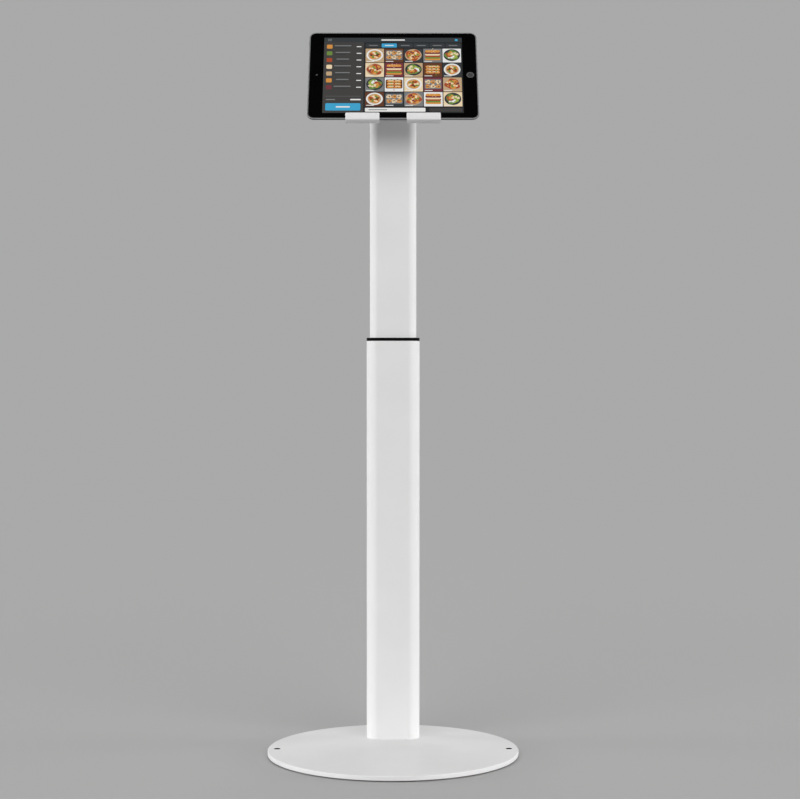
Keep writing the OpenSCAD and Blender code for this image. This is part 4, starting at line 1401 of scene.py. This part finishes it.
@dataclass
class Picture:
    """A plain till screen on the tablet: an order list at the left and tiles with dishes at the right.

    Each ink is one piece: flat patches a hair above the glass, one step higher for each level.
    """

    border: float = 2 * MM
    bar: float = 9 * MM
    panel: float = 57 * MM
    row_start: float = 9 * MM
    row_pitch: float = 13.4 * MM
    mark: float = 8 * MM
    gap: float = 1.2 * MM
    columns: int = 5
    rows: int = 4
    tabs: int = 6
    tabs_drop: float = 6.5 * MM
    fields_rise: float = 6 * MM
    tiles_drop: float = 13 * MM
    tiles_rise: float = 12.5 * MM
    step: float = 0.012 * MM
    patches: dict[Ink, list[tuple[Array, int]]] = field(default_factory=dict)

    def draw(self, ink: Ink, outline: Array, x: float, y: float, level: int) -> None:
        """Lays a patch of an ink over a number of levels: an outline round zero, moved to its place."""
        self.patches.setdefault(ink, []).append((outline + (x, y), level))

    def blob(self, size: float, seed: int) -> Array:
        """Gives an uneven round outline: a circle whose radius swings with three and five waves.

        Args:
            size: The circle's width.
            seed: What sets the waves' phases.

        Returns:
            (40, 2) points.
        """
        angle = angles(40)
        reach = 1 + 0.12 * np.cos(3 * angle + seed) + 0.08 * np.sin(5 * angle + 2 * seed)
        return size / 2 * reach[:, None] * arc(angle)

    def strew(self, inks: tuple[Ink, ...], count: int, x: float, y: float, reach: float, size: float,
              level: int) -> None:
        """Strews small bits evenly over a disc, each at the golden angle from the one before.

        Args:
            inks: Their colours, in turn.
            count: How many.
            x: The disc's middle.
            y: The same, up the screen.
            reach: The disc's radius.
            size: The width of one bit.
            level: The lower of the two levels they lie on.
        """
        for index in range(count):
            angle, radius = 2.4 * index + x / MM, reach * math.sqrt((index + 0.5) / count)
            self.draw(inks[index % len(inks)], self.blob(size * (1 - 0.3 * (index % 3) / 2), index),
                      x + radius * math.cos(angle), y + 0.8 * radius * math.sin(angle), level + index % 2)

    def draw_dish(self, motif: Motif, x: float, y: float, size: float) -> None:
        """Draws a tile's dish, in shares of its width.

        Args:
            motif: Which dish.
            x: The tile's middle.
            y: The same, up the screen.
            size: The dish's width.
        """
        seed = int(x / MM) + int(y / MM)
        if motif is Motif.PLATE:
            self.draw(Ink.PALE, circle(size / 2), x, y, 2)
            self.draw(Ink.SAND, circle(0.4 * size), x, y, 3)
            self.draw(Ink.AMBER, self.blob(0.68 * size, seed), x, y, 4)
            self.strew((Ink.RUST, Ink.CREAM, Ink.LEAF, Ink.BROWN), 15, x, y, 0.3 * size, 0.17 * size, 5)
        elif motif is Motif.BOARD:
            self.draw(Ink.BROWN, rectangle(size, 0.74 * size, 0.1 * size), x, y, 2)
            for index in range(3):
                low = y + (index - 1) * 0.23 * size
                self.draw(Ink.AMBER, pill(0.86 * size, 0.2 * size), x, low, 3)
                self.draw(Ink.CREAM, pill(0.7 * size, 0.07 * size), x, low + 0.04 * size, 4)
                self.strew((Ink.RUST, Ink.LEAF), 6, x, low - 0.03 * size, 0.33 * size, 0.1 * size, 5)
        elif motif is Motif.BOWL:
            bits = (Ink.CREAM, Ink.RUST, Ink.LIME, Ink.AMBER, Ink.PALE)
            self.draw(Ink.BAR, circle(size / 2), x, y, 2)
            self.draw(Ink.LEAF, self.blob(0.8 * size, seed), x, y, 3)
            self.strew(bits, 18, x, y, 0.36 * size, 0.18 * size, 4)
        elif motif is Motif.STACK:
            for index, ink in enumerate((Ink.AMBER, Ink.LEAF, Ink.RUST, Ink.CREAM, Ink.PLUM, Ink.AMBER)):
                layer = pill((0.94 - 0.05 * (index % 2)) * size, 0.2 * size)
                self.draw(ink, layer, x, y + (0.13 * index - 0.33) * size, 2 + index)
            self.strew((Ink.CREAM,), 7, x, y + 0.33 * size, 0.26 * size, 0.06 * size, 8)
        elif motif is Motif.PIE:
            self.draw(Ink.SAND, circle(size / 2), x, y, 2)
            self.draw(Ink.RUST, self.blob(0.86 * size, seed), x, y, 3)
            self.draw(Ink.AMBER, self.blob(0.7 * size, seed + 2), x, y, 4)
            self.strew((Ink.CREAM, Ink.LEAF, Ink.RUST, Ink.PLUM), 17, x, y, 0.36 * size, 0.15 * size, 5)
        else:
            self.draw(Ink.LINE, rectangle(size, 0.8 * size, 0.08 * size), x, y, 2)
            for index in range(6):
                row, column = divmod(index, 3)
                place = (x + (column - 1) * 0.3 * size, y + (row - 0.5) * 0.36 * size)
                self.draw((Ink.AMBER, Ink.CREAM)[index % 2], self.blob(0.3 * size, seed + index), *place, 3)
                self.strew((Ink.BROWN, Ink.SAND), 4, *place, 0.1 * size, 0.09 * size, 4)

    def draw_list(self, left: float, top: float, low: float) -> None:
        """Draws the order list: rows with a mark, two lines and a sum, and a blue key below.

        Args:
            left: The panel's left side.
            top: Its upper end.
            low: Its lower end.
        """
        middle, inside = left + self.panel / 2, self.panel - 8 * MM
        total, key = low + 25.5 * MM, low + 11.5 * MM
        self.draw(Ink.PANEL, rectangle(self.panel, top - low, 0.3 * MM), middle, (top + low) / 2, 1)
        marks = (Ink.AMBER, Ink.LEAF, Ink.RUST, Ink.CREAM, Ink.SAND, Ink.AMBER, Ink.PLUM)
        for index, mark in enumerate(marks):
            y = top - self.row_start - self.row_pitch * index
            self.draw(mark, rectangle(self.mark, self.mark, 0.2 * self.mark), left + 8 * MM, y, 2)
            self.draw(Ink.LINE, pill((24 - 3 * (index % 3)) * MM, 1.8 * MM), left + 27 * MM, y + 1.9 * MM, 2)
            self.draw(Ink.BAR, pill(17 * MM, 1.4 * MM), left + 23.5 * MM, y - 2 * MM, 2)
            self.draw(Ink.PALE, pill(7 * MM, 1.7 * MM), left + 50 * MM, y, 2)
        self.draw(Ink.LINE, rectangle(inside, 0.35 * MM, 0.1 * MM), middle, low + 32 * MM, 2)
        self.draw(Ink.PALE, pill(15 * MM, 2.6 * MM), left + 46 * MM, total, 2)
        self.draw(Ink.LINE, pill(13 * MM, 2 * MM), left + 11 * MM, total, 2)
        self.draw(Ink.BLUE, rectangle(inside, 14 * MM, 2 * MM), middle, key, 2)
        self.draw(Ink.PALE, pill(20 * MM, 2.6 * MM), middle, key, 3)

    def draw_tiles(self, left: float, right: float, top: float, low: float) -> None:
        """Draws the tiles: an even grid of cards, each with a dish and a caption line.

        Args:
            left: The grid's left side.
            right: Its right side.
            top: Its upper end.
            low: Its lower end.
        """
        width = (right - left - (self.columns - 1) * self.gap) / self.columns
        height = (top - low - (self.rows - 1) * self.gap) / self.rows
        inks = (Ink.SAND, Ink.PALE, Ink.BROWN, Ink.CREAM, Ink.BAR, Ink.PLUM, Ink.LINE)
        for index in range(self.columns * self.rows):
            row, column = divmod(index, self.columns)
            x = left + width / 2 + column * (width + self.gap)
            y = top - height / 2 - row * (height + self.gap)
            self.draw(inks[(3 * row + 2 * column) % len(inks)], rectangle(width, height, 0.6 * MM), x, y, 1)
            self.draw_dish(Motif((5 * index + 3 * row) % len(Motif)), x, y + 0.03 * height, 0.9 * width)
            self.draw(Ink.PALE, pill(0.42 * width, 1.3 * MM), x - 0.24 * width, y - 0.43 * height, 9)

    def draw_bar(self, left: float, right: float, y: float) -> None:
        """Draws the bar at the top: three strokes, a title line and a round mark.

        Args:
            left: The screen's left side.
            right: Its right side.
            y: The bar's middle.
        """
        self.draw(Ink.BAR, rectangle(right - left, self.bar, 0.2 * MM), 0, y, 1)
        for index in range(3):
            self.draw(Ink.LINE, pill(6 * MM, 0.8 * MM), left + 8 * MM, y + (index - 1) * 1.7 * MM, 2)
        self.draw(Ink.PALE, pill(34 * MM, 2.4 * MM), 0, y, 2)
        self.draw(Ink.BLUE, circle(2.2 * MM), right - 8 * MM, y, 2)

    def draw_fields(self, left: float, right: float, tabs: float, foot: float) -> None:
        """Draws what frames the tiles: a row of tabs above, and two fields below.

        Args:
            left: The tiles' left side.
            right: Their right side.
            tabs: The middle of the tabs, up the screen.
            foot: The middle of the fields, up the screen.
        """
        width, pitch = right - left, (right - left + self.gap) / self.tabs
        for index in range(self.tabs):
            card, line = (Ink.BLUE, Ink.PALE) if index == 1 else (Ink.BAR, Ink.LINE)
            x = left + (index + 0.5) * pitch - self.gap / 2
            self.draw(card, rectangle(pitch - self.gap, 8 * MM, 1.2 * MM), x, tabs, 1)
            self.draw(line, pill(0.55 * pitch, 1.5 * MM), x, tabs, 2)
        self.draw(Ink.PALE, rectangle(0.62 * width, 7.5 * MM, 1.2 * MM), left + 0.31 * width, foot, 1)
        self.draw(Ink.LINE, pill(26 * MM, 1.7 * MM), left + 18 * MM, foot, 2)
        self.draw(Ink.PANEL, rectangle(0.34 * width, 7.5 * MM, 1.2 * MM), right - 0.17 * width, foot, 1)

    def build(self) -> None:
        """Lays out the screen and makes one piece of each ink."""
        inset = np.array([self.border, -self.border])
        (left, right), (low, high) = (TABLET.span("tablet_display", axis) + inset for axis in (0, 1))
        under = high - self.bar
        start, end = left + self.panel + 2 * self.gap, right - 1.5 * self.gap
        self.draw(Ink.GROUND, rectangle(right - left, high - low, 0.2 * MM), 0, (low + high) / 2, 0)
        self.draw_bar(left, right, high - self.bar / 2)
        self.draw_list(left, under, low)
        self.draw_fields(start, end, under - self.tabs_drop, low + self.fields_rise)
        self.draw_tiles(start, end, under - self.tiles_drop, low + self.tiles_rise)
        for ink, patches in self.patches.items():
            sheet = Shape()
            for outline, level in patches:
                height = (level + 1.5) * self.step
                sheet.fan(sheet.add(raised(outline, height)), (*outline.mean(axis=0), height))
            sheet.publish("picture_" + ink.name.lower(), TABLET, ink.finish(), "tablet")


@dataclass
class Studio:
    """A pale floor, soft lights and the camera.

    Rays that show the surroundings, from the camera, off a gloss or through glass, see one plain
    grey for floor and backdrop. Rays that light the object see a brighter floor and an even dome.
    """

    lens: float = 82.64
    sensor: float = 36.0
    clip: Pair = (0.05, 500.0)
    camera: Triple = (0.0012, -2.5597, 0.5402)
    pitch_down: float = 0.984
    yaw_right: float = 0.189
    floor_half: float = 60.0
    floor_seen: float = 0.47
    floor_bounce: float = 0.35
    floor_fades: Pair = (1.5, 5.0)
    backdrop: float = 0.40
    ceiling: float = 0.004
    dark_above: Pair = (0.86, 0.96)
    dome: float = 0.25

    def showing(self, tree: bpy.types.NodeTree) -> bpy.types.NodeSocket:
        """Adds nodes that tell the rays that show the surroundings from those that light the object.

        Args:
            tree: The material's or the world's nodes.

        Returns:
            A socket that is 1 for a camera, glossy or transmission ray.
        """
        path = add_node(tree, "LightPath")
        shows = path.outputs["Is Camera Ray"]
        for name in ("Is Glossy Ray", "Is Transmission Ray"):
            either = add_node(tree, "Math", {0: shows, 1: path.outputs[name]})
            either.operation = "MAXIMUM"
            shows = either.outputs[0]
        return shows

    def scale(self, tree: bpy.types.NodeTree, value: bpy.types.NodeSocket, start: Pair,
              end: Pair) -> bpy.types.NodeSocket:
        """Adds a smooth change from one pair of values to another.

        Args:
            tree: The nodes to add to.
            value: What is changed.
            start: Its low and its high value.
            end: What they become.

        Returns:
            The changed value.
        """
        limits = dict(zip(("From Min", "From Max", "To Min", "To Max"), (*start, *end)))
        node = add_node(tree, "MapRange", {"Value": value} | limits)
        node.interpolation_type = "SMOOTHSTEP"
        return node.outputs["Result"]

    def build_floor(self) -> None:
        """Makes the floor: a wide plain sheet that keeps the shadow near the stand, and fades far off."""
        material = bpy.data.materials.new("pale floor")
        material.use_nodes = True
        tree = material.node_tree
        tree.nodes.clear()
        shows = self.showing(tree)
        tone = self.scale(tree, shows, (0, 1), (self.floor_bounce, self.floor_seen))
        matt = add_node(tree, "BsdfDiffuse", {"Color": tone})
        plain = add_node(tree, "Emission", {"Strength": self.backdrop})
        length = add_node(tree, "VectorMath", {0: add_node(tree, "TexCoord").outputs["Object"]})
        length.operation = "LENGTH"
        far = self.scale(tree, length.outputs["Value"], self.floor_fades, (0, 1))
        fade = add_node(tree, "Math", {0: far, 1: shows})
        fade.operation = "MULTIPLY"
        mix = add_node(tree, "MixShader", {"Fac": fade.outputs[0], 1: matt.outputs[0], 2: plain.outputs[0]})
        add_node(tree, "OutputMaterial", {"Surface": mix.outputs[0]})
        mesh = bpy.data.meshes.new("floor")
        corners = np.array([[-1, -1, 0], [1, -1, 0], [1, 1, 0], [-1, 1, 0]]) * self.floor_half
        mesh.from_pydata(corners, [], [[0, 1, 2, 3]])
        mesh.materials.append(material)
        floor = bpy.data.objects.new("floor", mesh)
        bpy.context.scene.collection.objects.link(floor)

    def build_world(self) -> None:
        """Makes the surroundings: an even dome that lights, and a plain backdrop that shows.

        The backdrop turns dark where a direction's height nears the zenith, as a dark ceiling would,
        so that a glossy screen that faces up shows black.
        """
        world = bpy.data.worlds.new("studio")
        bpy.context.scene.world = world
        world.use_nodes = True
        tree = world.node_tree
        tree.nodes.clear()
        white = (1, 1, 1, 1)
        split = add_node(tree, "SeparateXYZ", {"Vector": add_node(tree, "TexCoord").outputs["Generated"]})
        shade = self.scale(tree, split.outputs["Z"], self.dark_above, (self.backdrop, self.ceiling))
        dome = add_node(tree, "Background", {"Color": white, "Strength": self.dome})
        seen = add_node(tree, "Background", {"Color": white, "Strength": shade})
        shows = self.showing(tree)
        mix = add_node(tree, "MixShader", {"Fac": shows, 1: dome.outputs[0], 2: seen.outputs[0]})
        add_node(tree, "OutputWorld", {"Surface": mix.outputs[0]})

    def build_light(self, name: str, level: float, size: float, azimuth: float, elevation: float,
                    mirrored: bool = False) -> None:
        """Adds one broad far lamp.

        Args:
            name: What it does.
            level: How bright it makes a white surface that faces it, where 1 is white.
            size: How wide it looks, in degrees.
            azimuth: Where it stands, in degrees to the right of the camera's side.
            elevation: How high it stands, in degrees.
            mirrored: True if it shows in gloss alone, False if it lights without showing there.
        """
        lamp = bpy.data.lights.new(name, "SUN")
        lamp.energy, lamp.angle = math.pi * level, math.radians(size)
        light = bpy.data.objects.new(name, lamp)
        light.visible_glossy, light.visible_diffuse = mirrored, not mirrored
        light.rotation_euler = (math.radians(90 - elevation), 0, math.radians(azimuth))
        bpy.context.scene.collection.objects.link(light)

    def build_camera(self) -> None:
        """Sets the camera where the photograph was taken from, level but for a slight dip and turn."""
        data = bpy.data.cameras.new("camera")
        data.lens, data.sensor_width, data.sensor_fit = self.lens, self.sensor, "AUTO"
        data.clip_start, data.clip_end = self.clip
        camera = bpy.data.objects.new("camera", data)
        camera.location = self.camera
        camera.rotation_euler = (math.radians(90 - self.pitch_down), 0, math.radians(-self.yaw_right))
        bpy.context.scene.collection.objects.link(camera)
        bpy.context.scene.camera = camera

    def build(self) -> None:
        """Makes the studio."""
        bpy.context.scene.view_settings.view_transform = "Standard"
        self.build_floor()
        self.build_world()
        self.build_light("back", level=0.28, size=60, azimuth=180, elevation=40)
        for side in (-1, 1):
            self.build_light("key", level=0.375, size=44, azimuth=34 * side, elevation=24)
            self.build_light("edge", level=0.66, size=18, azimuth=92 * side, elevation=5)
            self.build_light("glint", level=0.22, size=30, azimuth=140 * side, elevation=38, mirrored=True)
        self.build_camera()


def main() -> None:
    """Builds the stand, the tablet and the studio, in order."""
    logging.basicConfig(level=logging.INFO, format="%(message)s")
    for assembly in (Base(), Column(), HeightLock(), TiltHinge(), Cradle(), Tablet(), Picture(), Studio()):
        LOG.info("building the %s", type(assembly).__name__)
        assembly.build()


if __name__ == "__main__":
    main()
